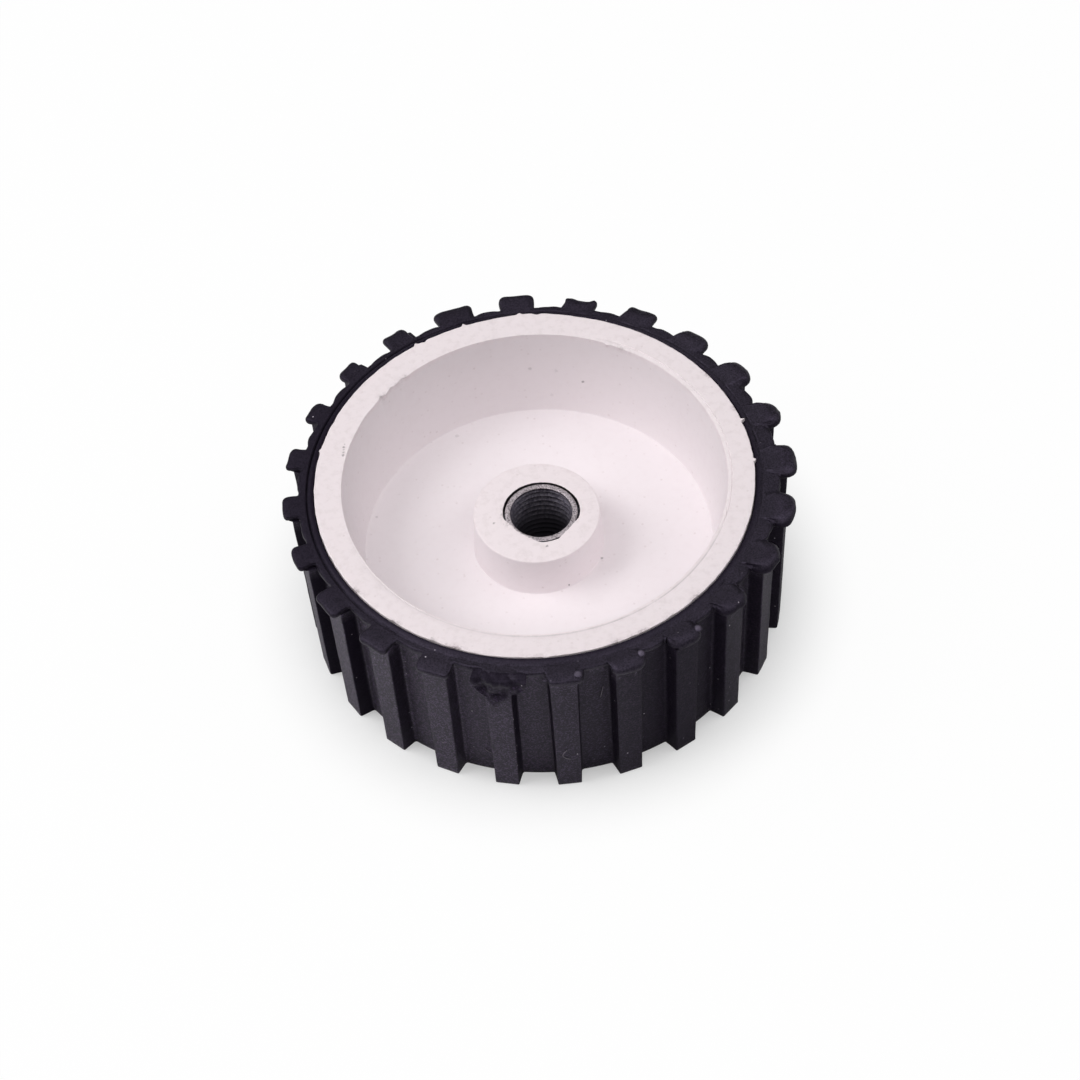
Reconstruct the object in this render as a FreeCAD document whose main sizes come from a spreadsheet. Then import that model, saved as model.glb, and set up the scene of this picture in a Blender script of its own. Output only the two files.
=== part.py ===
import FreeCAD
import Part
import Sketcher
import os
from dataclasses import dataclass

# The wheel lies on its back face with its axle along Z: the bottom is z = 0, and the dished face looks up.
# The tread and the threaded bore share the Z axis. A lug stands on the X axis.

# Driving dimensions, in millimetres
DIMENSIONS = {
    # Rim: a moulded dish with a hub boss
    "wheel_width": 26.4,
    "rim_face_radius": 31.0,
    "rim_back_radius": 29.8,
    "rim_shift": 0.65,
    "mouth_radius": 27.1,
    "dish_depth": 14.05,
    "floor_radius": 24.85,
    "boss_radius": 9.0,
    "boss_foot_radius": 9.25,
    "boss_height": 6.85,
    "web_thickness": 3.4,
    "back_mouth_radius": 26.0,
    "back_floor_radius": 24.9,
    "edge_round": 0.25,
    "floor_round": 0.6,
    # Threaded insert: a steel bush for an M10 x 1 shaft
    "insert_radius": 5.5,
    "insert_length": 19.0,
    "insert_chamfer": 0.25,
    "thread_minor_radius": 4.459,
    "thread_lead_in": 0.35,
    # Tyre: a band with lugs, all drawn narrower towards the back
    "side_drop": 0.6,
    "groove_face_radius": 32.8,
    "groove_back_radius": 31.6,
    "lug_face_radius": 35.0,
    "lug_back_radius": 33.8,
    "lug_face_tip_width": 3.4,
    "lug_back_tip_width": 3.28,
    "lug_face_root_width": 4.08,
    "lug_back_root_width": 3.92,
    "lug_root_depth": 0.5,
    "lug_count": 24,
    # Flash pads on the lugs' ends: they reach furthest along X
    "pad_width": 4.5,
    "pad_corner_radius": 1.1,
    "pad_thickness": 0.9,
    "pad_reach": 36.5,
    "pad_short_reach": 35.3,
    "pad_trim_margin": 3.0,
}

SHEET_NAME = "sizes"
ORIGIN = (-1, 1)
X_AXIS = -1
Y_AXIS = -2


@dataclass(frozen=True)
class Size:
    """A length in millimetres, with the sheet formula that drives it."""

    value: float
    formula: str

    def __add__(self, other):
        return Size(self.value + other.value, f"({self.formula} + {other.formula})")

    def __sub__(self, other):
        return Size(self.value - other.value, f"({self.formula} - {other.formula})")

    def __mul__(self, other):
        return Size(self.value * other.value, f"({self.formula} * {other.formula})")

    def __truediv__(self, other):
        return Size(self.value / other.value, f"({self.formula} / {other.formula})")

    def __neg__(self):
        return Size(-self.value, f"(-{self.formula})")


def size(name):
    """Return a driving dimension by its name in the sheet."""
    return Size(DIMENSIONS[name], f"{SHEET_NAME}.{name}")


ZERO = Size(0.0, "0")
TWO = Size(2.0, "2")


def add_sheet(doc):
    """Write the driving dimensions into the document's sheet, a name and a number in each row."""
    sheet = doc.addObject("Spreadsheet::Sheet", SHEET_NAME)
    for row, (name, value) in enumerate(DIMENSIONS.items(), start=1):
        sheet.set(f"A{row}", name)
        sheet.set(f"B{row}", str(value))
        sheet.setAlias(f"B{row}", name)
    doc.recompute()


def add_body(doc, label):
    """Add an empty body that is named after its piece."""
    body = doc.addObject("PartDesign::Body", label)
    body.Label = label
    return body


def origin_feature(body, role):
    """Return the body's own origin plane or axis with this role."""
    for feature in body.Origin.OriginFeatures:
        if feature.Role == role:
            return feature
    raise LookupError(f"{body.Label} has no {role}")


def add_sketch(body, name, plane_role, shift=ZERO, lift=ZERO):
    """Add a sketch on an origin plane, moved along its own X and along its normal."""
    sketch = body.newObject("Sketcher::SketchObject", name)
    sketch.AttachmentSupport = [(origin_feature(body, plane_role), "")]
    sketch.MapMode = "FlatFace"
    offset = FreeCAD.Vector(shift.value, 0, lift.value)
    sketch.AttachmentOffset = FreeCAD.Placement(offset, FreeCAD.Rotation())
    sketch.setExpression("AttachmentOffset.Base.x", shift.formula)
    sketch.setExpression("AttachmentOffset.Base.z", lift.formula)
    return sketch


def bind(sketch, kind, *target_and_length):
    """Add a constraint whose last argument is a Size, and drive it from the sheet."""
    *target, length = target_and_length
    index = sketch.addConstraint(Sketcher.Constraint(kind, *target, length.value))
    sketch.setExpression(f"Constraints[{index}]", length.formula)


def place_vertex(sketch, vertex, coordinates):
    """Fix a sketch vertex at a pair of coordinates measured from the sketch's origin."""
    for kind, length, axis in zip(("DistanceX", "DistanceY"), coordinates, (Y_AXIS, X_AXIS)):
        if length.value == 0:
            sketch.addConstraint(Sketcher.Constraint("PointOnObject", *vertex, axis))
        elif length.value > 0:
            bind(sketch, kind, *ORIGIN, *vertex, length)
        else:
            bind(sketch, kind, *vertex, *ORIGIN, -length)


def draw_polygon(sketch, points):
    """Draw a closed polygon through the points, each held at its coordinates."""
    corners = [FreeCAD.Vector(x.value, y.value, 0) for x, y in points]
    ends = corners[1:] + corners[:1]
    lines = [Part.LineSegment(start, end) for start, end in zip(corners, ends)]
    first = sketch.GeometryCount
    sketch.addGeometry(lines, False)
    count = len(lines)
    for side in range(count):
        following = (side + 1) % count
        sketch.addConstraint(Sketcher.Constraint("Coincident", first + side, 2, first + following, 1))
    for side, coordinates in enumerate(points):
        place_vertex(sketch, (first + side, 1), coordinates)


def draw_circle(sketch, radius, centre_x=ZERO):
    """Draw a circle of this radius with its centre on the sketch's X axis."""
    circle = Part.Circle(FreeCAD.Vector(centre_x.value, 0, 0), FreeCAD.Vector(0, 0, 1), radius.value)
    index = sketch.addGeometry(circle, False)
    place_vertex(sketch, (index, 3), (centre_x, ZERO))
    bind(sketch, "Radius", index, radius)


def draw_ellipse(sketch, long_radius, short_radius):
    """Draw an ellipse about the sketch's origin with its long axis along X."""
    ellipse = Part.Ellipse(
        FreeCAD.Vector(long_radius.value, 0, 0), FreeCAD.Vector(0, short_radius.value, 0), FreeCAD.Vector()
    )
    index = sketch.addGeometry(ellipse, False)
    sketch.exposeInternalGeometry(index)
    long_axis = index + 1
    short_axis = index + 2
    sketch.addConstraint(Sketcher.Constraint("Coincident", index, 3, *ORIGIN))
    sketch.addConstraint(Sketcher.Constraint("Horizontal", long_axis))
    bind(sketch, "Distance", long_axis, long_radius * TWO)
    bind(sketch, "Distance", short_axis, short_radius * TWO)


def revolve(body, kind, name, points, shift=ZERO):
    """Turn a half profile of radius and height pairs about the Z axis, or about one beside it along X."""
    sketch = add_sketch(body, f"{name}_profile", "XZ_Plane", shift=shift)
    draw_polygon(sketch, points)
    feature = body.newObject(f"PartDesign::{kind}", name)
    feature.Profile = sketch
    feature.ReferenceAxis = (sketch, ["V_Axis"])
    feature.Angle = 360
    return feature


def circle_edges(shape, radius, height):
    """Return the names of the shape's round edges of this radius at this height."""
    tolerance = 1e-4
    names = []
    for number, edge in enumerate(shape.Edges, start=1):
        if not isinstance(edge.Curve, Part.Circle):
            continue
        same_radius = abs(edge.Curve.Radius - radius.value) < tolerance
        same_height = abs(edge.Curve.Center.z - height.value) < tolerance
        if same_radius and same_height:
            names.append(f"Edge{number}")
    if not names:
        raise LookupError(f"no edge of radius {radius.value} at height {height.value}")
    return names


def round_edges(body, name, circles, radius):
    """Round the edges of the body's present tip that lie on these circles of radius and height."""
    doc = body.Document
    doc.recompute()
    base = body.Tip
    names = []
    for circle_radius, height in circles:
        names += circle_edges(base.Shape, circle_radius, height)
    fillet = body.newObject("PartDesign::Fillet", name)
    fillet.Base = (base, names)
    fillet.Radius = radius.value
    fillet.setExpression("Radius", radius.formula)


def build_rim(doc):
    """Build the white moulding: tyre seat, dish, web and hub boss, set a little to one side of the bore."""
    body = add_body(doc, "rim")
    body.setExpression("Placement.Base.x", (-size("rim_shift")).formula)
    face = size("wheel_width")
    floor = face - size("dish_depth")
    boss_top = floor + size("boss_height")
    web_back = floor - size("web_thickness")
    revolve(body, "Revolution", "rim_turned", [
        (ZERO, ZERO),
        (size("boss_radius"), ZERO),
        (size("boss_foot_radius"), web_back),
        (size("back_floor_radius"), web_back),
        (size("back_mouth_radius"), ZERO),
        (size("rim_back_radius"), ZERO),
        (size("rim_face_radius"), face),
        (size("mouth_radius"), face),
        (size("floor_radius"), floor),
        (size("boss_foot_radius"), floor),
        (size("boss_radius"), boss_top),
        (ZERO, boss_top),
    ])
    bore_sketch = add_sketch(body, "insert_hole_circle", "XY_Plane")
    draw_circle(bore_sketch, size("insert_radius"), centre_x=size("rim_shift"))
    bore = body.newObject("PartDesign::Pocket", "insert_hole")
    bore.Profile = bore_sketch
    bore.Type = "ThroughAll"
    bore.Reversed = True
    round_edges(body, "inner_corners", [
        (size("floor_radius"), floor),
        (size("boss_foot_radius"), floor),
        (size("back_floor_radius"), web_back),
        (size("boss_foot_radius"), web_back),
    ], size("floor_round"))
    round_edges(body, "outer_corners", [
        (size("mouth_radius"), face),
        (size("boss_radius"), boss_top),
        (size("back_mouth_radius"), ZERO),
        (size("boss_radius"), ZERO),
    ], size("edge_round"))
    return body


def build_insert(doc):
    """Build the steel bush: its bore is at the thread's crests, with a lead-in at both ends."""
    body = add_body(doc, "threaded_insert")
    outer = size("insert_radius")
    chamfer = size("insert_chamfer")
    crest = size("thread_minor_radius")
    lead_in = size("thread_lead_in")
    top = size("insert_length")
    revolve(body, "Revolution", "bush_turned", [
        (crest + lead_in, ZERO),
        (outer - chamfer, ZERO),
        (outer, chamfer),
        (outer, top - chamfer),
        (outer - chamfer, top),
        (crest + lead_in, top),
        (crest, top - lead_in),
        (crest, lead_in),
    ])
    return body


def lug_section(body, name, lift, groove_radius, tip_radius, root_width, tip_width):
    """Draw one end of the lug on the X axis: a trapezium rooted inside the band."""
    sketch = add_sketch(body, name, "XY_Plane", lift=lift)
    root_radius = groove_radius - size("lug_root_depth")
    half_root = root_width / TWO
    half_tip = tip_width / TWO
    draw_polygon(sketch, [
        (root_radius, -half_root),
        (tip_radius, -half_tip),
        (tip_radius, half_tip),
        (root_radius, half_root),
    ])
    return sketch


def add_lug(body, side):
    """Loft the lug from its narrow end at the back to its wide end at the tyre's side face."""
    back = lug_section(
        body, "lug_back_end", ZERO, size("groove_back_radius"), size("lug_back_radius"),
        size("lug_back_root_width"), size("lug_back_tip_width"),
    )
    front = lug_section(
        body, "lug_face_end", side, size("groove_face_radius"), size("lug_face_radius"),
        size("lug_face_root_width"), size("lug_face_tip_width"),
    )
    lug = body.newObject("PartDesign::AdditiveLoft", "lug")
    lug.Profile = back
    lug.Sections = [(front, [""])]
    lug.Ruled = True
    return lug


def add_pad(body, side):
    """Add the flash pad that overhangs the lug's end, left long for the trim."""
    sketch = add_sketch(body, "pad_outline", "XY_Plane", lift=side - size("pad_thickness"))
    root_radius = size("groove_face_radius") - size("lug_root_depth")
    end_radius = size("pad_reach") + size("pad_trim_margin")
    half_width = size("pad_width") / TWO
    draw_polygon(sketch, [
        (root_radius, -half_width),
        (end_radius, -half_width),
        (end_radius, half_width),
        (root_radius, half_width),
    ])
    pad = body.newObject("PartDesign::Pad", "flash_pad")
    pad.Profile = sketch
    pad.Length = DIMENSIONS["pad_thickness"]
    pad.setExpression("Length", size("pad_thickness").formula)
    return pad


def trim_pads(body, side):
    """Cut the flash pads off along an oval and round the corners that this leaves."""
    sketch = add_sketch(body, "pad_trim_outline", "XY_Plane", lift=side)
    draw_ellipse(sketch, size("pad_reach"), size("pad_short_reach"))
    draw_circle(sketch, size("pad_reach") + size("pad_trim_margin") * TWO)
    trim = body.newObject("PartDesign::Pocket", "pad_trim")
    trim.Profile = sketch
    trim.Length = DIMENSIONS["pad_thickness"]
    trim.setExpression("Length", size("pad_thickness").formula)
    body.Document.recompute()
    corners = body.newObject("PartDesign::Fillet", "pad_corners")
    corners.Base = (trim, pad_corner_edges(trim.Shape))
    corners.Radius = DIMENSIONS["pad_corner_radius"]
    corners.setExpression("Radius", size("pad_corner_radius").formula)


def pad_corner_edges(shape):
    """Return the names of the upright edges at the flash pads' outer corners."""
    tolerance = 1e-4
    names = []
    for number, edge in enumerate(shape.Edges, start=1):
        box = edge.BoundBox
        upright = box.XLength < tolerance and box.YLength < tolerance
        as_tall_as_pad = abs(box.ZLength - DIMENSIONS["pad_thickness"]) < tolerance
        middle = edge.CenterOfMass
        beyond_lug = middle.x ** 2 + middle.y ** 2 > DIMENSIONS["lug_face_radius"] ** 2
        on_oval_seam = abs(middle.y) < tolerance
        if upright and as_tall_as_pad and beyond_lug and not on_oval_seam:
            names.append(f"Edge{number}")
    if len(names) != 2 * DIMENSIONS["lug_count"]:
        raise LookupError(f"{len(names)} pad corners found")
    return names


def build_tyre(doc):
    """Build the rubber moulding: a band, the lugs around it and their flash pads, on the rim's seat."""
    body = add_body(doc, "tyre")
    face = size("wheel_width")
    side = face - size("side_drop")
    revolve(body, "Revolution", "band", [
        (ZERO, ZERO),
        (size("groove_back_radius"), ZERO),
        (size("groove_face_radius"), side),
        (ZERO, side),
    ])
    lug = add_lug(body, side)
    pad = add_pad(body, side)
    doc.recompute()
    tread = body.newObject("PartDesign::PolarPattern", "tread")
    tread.Originals = [lug, pad]
    tread.Axis = (origin_feature(body, "Z_Axis"), [""])
    tread.Angle = 360
    tread.Occurrences = DIMENSIONS["lug_count"]
    tread.setExpression("Occurrences", size("lug_count").formula)
    body.Tip = tread
    doc.recompute()
    trim_pads(body, side)
    seat_slope = (size("rim_face_radius") - size("rim_back_radius")) / face
    seat_side_radius = size("rim_back_radius") + seat_slope * side
    revolve(body, "Groove", "rim_seat", [
        (ZERO, ZERO),
        (size("rim_back_radius"), ZERO),
        (seat_side_radius, side),
        (ZERO, side),
    ], shift=-size("rim_shift"))
    return body


def check_document(doc, bodies):
    """Stop if any object failed or any piece is not one valid solid."""
    failed = [obj.Name for obj in doc.Objects if "Invalid" in obj.State or "Error" in obj.State]
    if failed:
        raise RuntimeError(f"failed objects: {failed}")
    for body in bodies:
        shape = body.Shape
        if shape.isNull() or not shape.isValid() or len(shape.Solids) != 1:
            raise RuntimeError(f"{body.Label} is not one valid solid")


def main():
    """Build the wheel and write each piece to its own file."""
    doc = FreeCAD.newDocument("robot_wheel")
    add_sheet(doc)
    bodies = [build_rim(doc), build_tyre(doc), build_insert(doc)]
    doc.recompute()
    check_document(doc, bodies)
    os.makedirs("parts", exist_ok=True)
    for body in bodies:
        body.Shape.exportStep(f"parts/{body.Label}.step")
        box = body.Shape.BoundBox
        print(
            f"{body.Label}: volume {body.Shape.Volume:.0f} mm3, "
            f"x {box.XMin:.2f} to {box.XMax:.2f}, y {box.YMin:.2f} to {box.YMax:.2f}, "
            f"z {box.ZMin:.2f} to {box.ZMax:.2f}"
        )


main()
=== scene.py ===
"""Looks of a small robot wheel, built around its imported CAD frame.

The wheel lies on its back with its axle along Z. Lengths are in millimetres up to the line that writes a mesh,
which is in metres. Azimuths are in degrees around Z, from +X towards +Y.
"""

import logging
import math
from dataclasses import dataclass
from enum import Enum
from functools import partial

import bmesh
import bpy
import numpy as np
from mathutils import Matrix, Vector


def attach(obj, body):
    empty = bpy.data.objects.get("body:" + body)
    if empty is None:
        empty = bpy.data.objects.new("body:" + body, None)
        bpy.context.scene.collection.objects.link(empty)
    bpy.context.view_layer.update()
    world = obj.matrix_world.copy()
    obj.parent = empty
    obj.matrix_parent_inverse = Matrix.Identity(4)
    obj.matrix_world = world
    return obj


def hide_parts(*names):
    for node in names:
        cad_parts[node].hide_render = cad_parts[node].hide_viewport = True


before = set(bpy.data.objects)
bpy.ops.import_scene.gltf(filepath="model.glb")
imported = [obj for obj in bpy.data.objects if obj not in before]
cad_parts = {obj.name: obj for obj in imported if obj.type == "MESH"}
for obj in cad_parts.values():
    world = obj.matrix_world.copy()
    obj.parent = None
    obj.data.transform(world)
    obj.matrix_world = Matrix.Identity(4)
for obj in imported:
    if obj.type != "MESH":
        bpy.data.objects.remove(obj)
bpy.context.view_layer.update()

MM = 0.001
FULL_TURN = 2 * math.pi
DOUBLE_WITHIN = 0.003
NO_SIZE = 0.001
LOG = logging.getLogger("wheel")

Array = np.ndarray
Mesh = bpy.types.Mesh
Node = bpy.types.Node
Piece = bpy.types.Object
Socket = bpy.types.NodeSocket
Tree = bpy.types.NodeTree


class Slot(Enum):
    """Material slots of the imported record."""

    PLASTIC = "white_plastic"
    RUBBER = "black_rubber"
    STEEL = "turned_steel"


class Weight(Enum):
    """Point attributes of the tyre's repeat that say how each point may vary."""

    REACH = "reach"
    SPREAD = "spread"
    FLASH = "flash"
    NOTCH = "notch"
    ROUND_OUT = "round_out"
    ROUND_ALONG = "round_along"
    PILLOW = "pillow"
    CREASE = "crease"
    BULGE = "bulge"
    RAGGED = "ragged"
    SEAT = "seat"


def linear(hex_colour: str) -> tuple[float, float, float, float]:
    """Turn an sRGB hex colour into Blender's linear colour.

    Args:
        hex_colour: six hex digits after a hash sign.

    Returns:
        Red, green, blue and an alpha of 1.
    """
    levels = [int(hex_colour[i:i + 2], 16) / 255 for i in (1, 3, 5)]
    return (*[v / 12.92 if v <= 0.04045 else ((v + 0.055) / 1.055) ** 2.4 for v in levels], 1.0)


def per_metre(millimetres: float) -> float:
    """Return the texture scale at which one cell of a pattern has this size."""
    return 1.0 / (millimetres * MM)


def feed(tree: Tree, node: Node, inputs: dict) -> None:
    """Give a node's inputs their values and links.

    Args:
        tree: node tree that holds the node.
        node: node to feed.
        inputs: a value or an output socket for each input, by the input's identifier or name.
    """
    for key, value in inputs.items():
        socket = next((s for s in node.inputs if s.identifier == key), None) or node.inputs[key]
        if isinstance(value, Socket):
            tree.links.new(value, socket)
        else:
            socket.default_value = value


def add_node(tree: Tree, kind: str, inputs: dict | None = None, out: str = "",
             **settings: str) -> Socket | None:
    """Add a node to a tree with its settings, values and links.

    Args:
        tree: node tree of a material or a Geometry Nodes group.
        kind: Blender's name for the node.
        inputs: a value or an output socket for each input, by the input's identifier or name.
        out: name of the wanted output, or nothing for the first one in use.
        settings: properties of the node.

    Returns:
        The wanted output, or None on a node without outputs.
    """
    node = tree.nodes.new(kind)
    for name, value in settings.items():
        setattr(node, name, value)
    feed(tree, node, inputs or {})
    return node.outputs[out] if out else next((o for o in node.outputs if o.enabled), None)


def geometry_tree(name: str, sockets: dict[str, str]) -> tuple[Tree, bpy.types.NodeOutputs]:
    """Start a Geometry Nodes tree.

    Args:
        name: name of the tree.
        sockets: kind of each input after the geometry, by its name.

    Returns:
        The tree and the outputs of its group input.
    """
    tree = bpy.data.node_groups.new(name, "GeometryNodeTree")
    tree.interface.new_socket("Geometry", in_out="OUTPUT", socket_type="NodeSocketGeometry")
    for label, kind in {"Geometry": "Geometry", **sockets}.items():
        tree.interface.new_socket(label, in_out="INPUT", socket_type=f"NodeSocket{kind}")
    return tree, tree.nodes.new("NodeGroupInput").outputs


def end_tree(tree: Tree, shape: Socket, *coats: dict, join_within: Socket | None = None) -> Tree:
    """End a Geometry Nodes tree with real geometry that has its materials.

    Args:
        tree: tree to end.
        shape: output with the finished shape.
        coats: material of each coat, and the selection that it goes on.
        join_within: output with the distance over which points are joined, or None.

    Returns:
        The tree.
    """
    shape = add_node(tree, "GeometryNodeRealizeInstances", {"Geometry": shape})
    if join_within:
        shape = add_node(tree, "GeometryNodeMergeByDistance", {"Geometry": shape, "Distance": join_within})
    for coat in coats:
        shape = add_node(tree, "GeometryNodeSetMaterial", {"Geometry": shape, **coat})
    add_node(tree, "NodeGroupOutput", {"Geometry": shape})
    return tree


def keep_result(piece: Piece, tree: Tree, values: dict) -> None:
    """Run a Geometry Nodes tree on a piece and keep what it makes as a plain mesh.

    Args:
        piece: object whose mesh goes into the tree.
        tree: Geometry Nodes tree.
        values: value of each named input of the tree.
    """
    modifier = piece.modifiers.new(tree.name, "NODES")
    modifier.node_group = tree
    for item in tree.interface.items_tree:
        if item.in_out == "INPUT" and item.name in values:
            modifier[item.identifier] = values[item.name]
    depsgraph = bpy.context.evaluated_depsgraph_get()
    made = bpy.data.meshes.new_from_object(
        piece.evaluated_get(depsgraph), preserve_all_data_layers=True, depsgraph=depsgraph)
    piece.modifiers.remove(modifier)
    piece.data = made


def ripple(angle: Array, seed: int, lowest: int, highest: int, fall: float) -> Array:
    """Return a smooth uneven wave around a circle, between -1 and 1.

    Args:
        angle: angles around the circle, in radians.
        seed: seed of the draw.
        lowest: fewest waves in a turn.
        highest: most waves in a turn.
        fall: how fast the finer waves get weaker.

    Returns:
        One value for each angle.
    """
    rng = np.random.default_rng(seed)
    total = np.zeros_like(angle)
    for count in range(lowest, highest + 1):
        total += rng.normal() / count ** fall * np.cos(count * angle + rng.uniform(0, FULL_TURN))
    return total / np.abs(total).max()


def lumps(points: Array, size: float, seed: int) -> Array:
    """Make a smooth uneven push for each point.

    Args:
        points: points in millimetres.
        size: length in millimetres over which the push changes.
        seed: seed of the random draws.

    Returns:
        The push at each point, about 1 long.
    """
    rng = np.random.default_rng(seed)
    ways = rng.normal(size=(16, 3))
    ways *= FULL_TURN / size * rng.uniform(0.4, 1.2, (16, 1)) / np.linalg.norm(ways, axis=1, keepdims=True)
    return np.cos(points @ ways.T + rng.uniform(0, FULL_TURN, 16)) @ rng.normal(size=(16, 3)) / 4


def ramp(values: Array, start: float, end: float) -> Array:
    """Return 0 up to the start, 1 from the end on, and a straight rise between them."""
    return np.clip((values - start) / (end - start), 0, 1)


def bend(start: Array, corner: Array, end: Array, steps: Array) -> Array:
    """Return points on the rounded way from start past a corner to end, at these steps from 0 to 1."""
    t = steps[:, None]
    return (1 - t) ** 2 * np.asarray(start) + 2 * t * (1 - t) * np.asarray(corner) + t ** 2 * np.asarray(end)


def polar(radius: Array, angle: Array, height: Array) -> Array:
    """Return points at radii, angles in radians and heights, which are spread to one shape."""
    return np.stack(np.broadcast_arrays(radius * np.cos(angle), radius * np.sin(angle), height), axis=-1)


def away_from(azimuth: float, degrees: Array) -> Array:
    """Return how far azimuths lie from this one, from -180 to 180 degrees."""
    return (degrees - azimuth + 180) % 360 - 180


@dataclass(frozen=True)
class Sector:
    """A stretch of azimuths with soft ends: its share, where it starts and ends, and how wide its ends are."""

    share: float
    start_deg: float
    end_deg: float
    blend_deg: float

    def at(self, degrees: Array) -> Array:
        """Work out the sector's share.

        Args:
            degrees: azimuths in degrees.

        Returns:
            The share at each azimuth.
        """
        away = np.abs(away_from((self.start_deg + self.end_deg) / 2, degrees))
        half = (self.end_deg - self.start_deg) / 2
        return self.share * np.clip((half + self.blend_deg / 2 - away) / self.blend_deg, 0, 1)


@dataclass(frozen=True)
class EdgeFlaw:
    """An uneven place on an edge: where it is, how wide, and how far the edge moves out or how dirty it is."""

    azimuth_deg: float
    half_width_deg: float
    amount: float

    def at(self, degrees: Array) -> Array:
        """Return the amount at azimuths."""
        return self.amount * np.exp(-(away_from(self.azimuth_deg, degrees) / self.half_width_deg) ** 2)


def sum_at(degrees: Array, parts: tuple[Sector | EdgeFlaw, ...]) -> Array:
    """Return the sum of sectors or of flaws at azimuths."""
    return sum(part.at(degrees) for part in parts)


def loop_faces(rings: int, columns: int, closed_columns: bool) -> Array:
    """Return the quads of a closed stack of rings.

    Args:
        rings: number of rings, the last of which joins the first.
        columns: points in each ring.
        closed_columns: whether each ring closes on itself.

    Returns:
        Corner numbers, four to a row.
    """
    ring = np.arange(rings)[:, None]
    last = columns if closed_columns else columns - 1
    column = np.arange(last)[None, :]
    beside = (column + 1) % columns
    here, above = ring * columns, (ring + 1) % rings * columns
    corners = [here + column, here + beside, above + beside, above + column]
    return np.stack(np.broadcast_arrays(*corners), axis=-1).reshape(-1, 4)


def new_piece(name: str, points: Array, faces: Array, material: bpy.types.Material,
              edges: list[tuple[int, int]] | None = None) -> Piece:
    """Make a mesh object from points in millimetres.

    Args:
        name: name of the piece.
        points: one row of x, y and z for each point.
        faces: corner numbers of each face.
        material: finish of the piece.
        edges: edges of a piece without faces.

    Returns:
        The linked object, at the origin.
    """
    mesh = bpy.data.meshes.new(name)
    mesh.from_pydata((points.reshape(-1, 3) * MM).tolist(), edges or [], [list(map(int, f)) for f in faces])
    mesh.materials.append(material)
    mesh.validate()
    piece = bpy.data.objects.new(name, mesh)
    bpy.context.scene.collection.objects.link(piece)
    return piece


def tidy_shells(mesh: Mesh) -> None:
    """Join double points of a mesh, drop faces of no size and turn each closed shell outwards.

    Args:
        mesh: mesh of closed shells, which is changed in place.
    """
    shells = bmesh.new()
    shells.from_mesh(mesh)
    bmesh.ops.remove_doubles(shells, verts=shells.verts, dist=DOUBLE_WITHIN * MM)
    bmesh.ops.dissolve_degenerate(shells, edges=shells.edges, dist=NO_SIZE * MM)
    bmesh.ops.recalc_face_normals(shells, faces=shells.faces)
    shells.to_mesh(mesh)
    shells.free()


def points_of(mesh: Mesh) -> Array:
    """Read the points of a mesh.

    Args:
        mesh: mesh to read.

    Returns:
        Its points in millimetres.
    """
    flat = np.zeros(len(mesh.vertices) * 3)
    mesh.vertices.foreach_get("co", flat)
    return flat.reshape(-1, 3) / MM


def set_weight(mesh: Mesh, name: str, values: Array) -> None:
    """Store one number for each point of a mesh as a named attribute."""
    attribute = mesh.attributes.new(name, "FLOAT", "POINT")
    attribute.data.foreach_set("value", np.ascontiguousarray(values, np.float32).ravel())


def weight_of(mesh: Mesh, name: str) -> Array:
    """Read a named point attribute.

    Args:
        mesh: mesh to read.
        name: name of the attribute.

    Returns:
        Its number at each point.
    """
    values = np.zeros(len(mesh.vertices), np.float32)
    mesh.attributes[name].data.foreach_get("value", values)
    return values


def smooth(piece: Piece, crease_deg: float) -> None:
    """Shade a piece smooth, apart from edges that fold by more than this angle."""
    piece.data.shade_smooth()
    piece.data.set_sharp_from_angle(angle=math.radians(crease_deg))


def deliver(piece: Piece, slot: Slot, node: str = "") -> None:
    """Fix a finished piece to the frame and report it.

    Args:
        piece: finished object, at the origin.
        slot: material slot of the record that goes with the piece; not used.
        node: CAD node that the piece stands for, or nothing.
    """
    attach(piece, "root")
    if node:
        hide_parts(node)
    LOG.info("%s: %d points, %d faces", piece.name, len(piece.data.vertices), len(piece.data.polygons))


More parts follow.
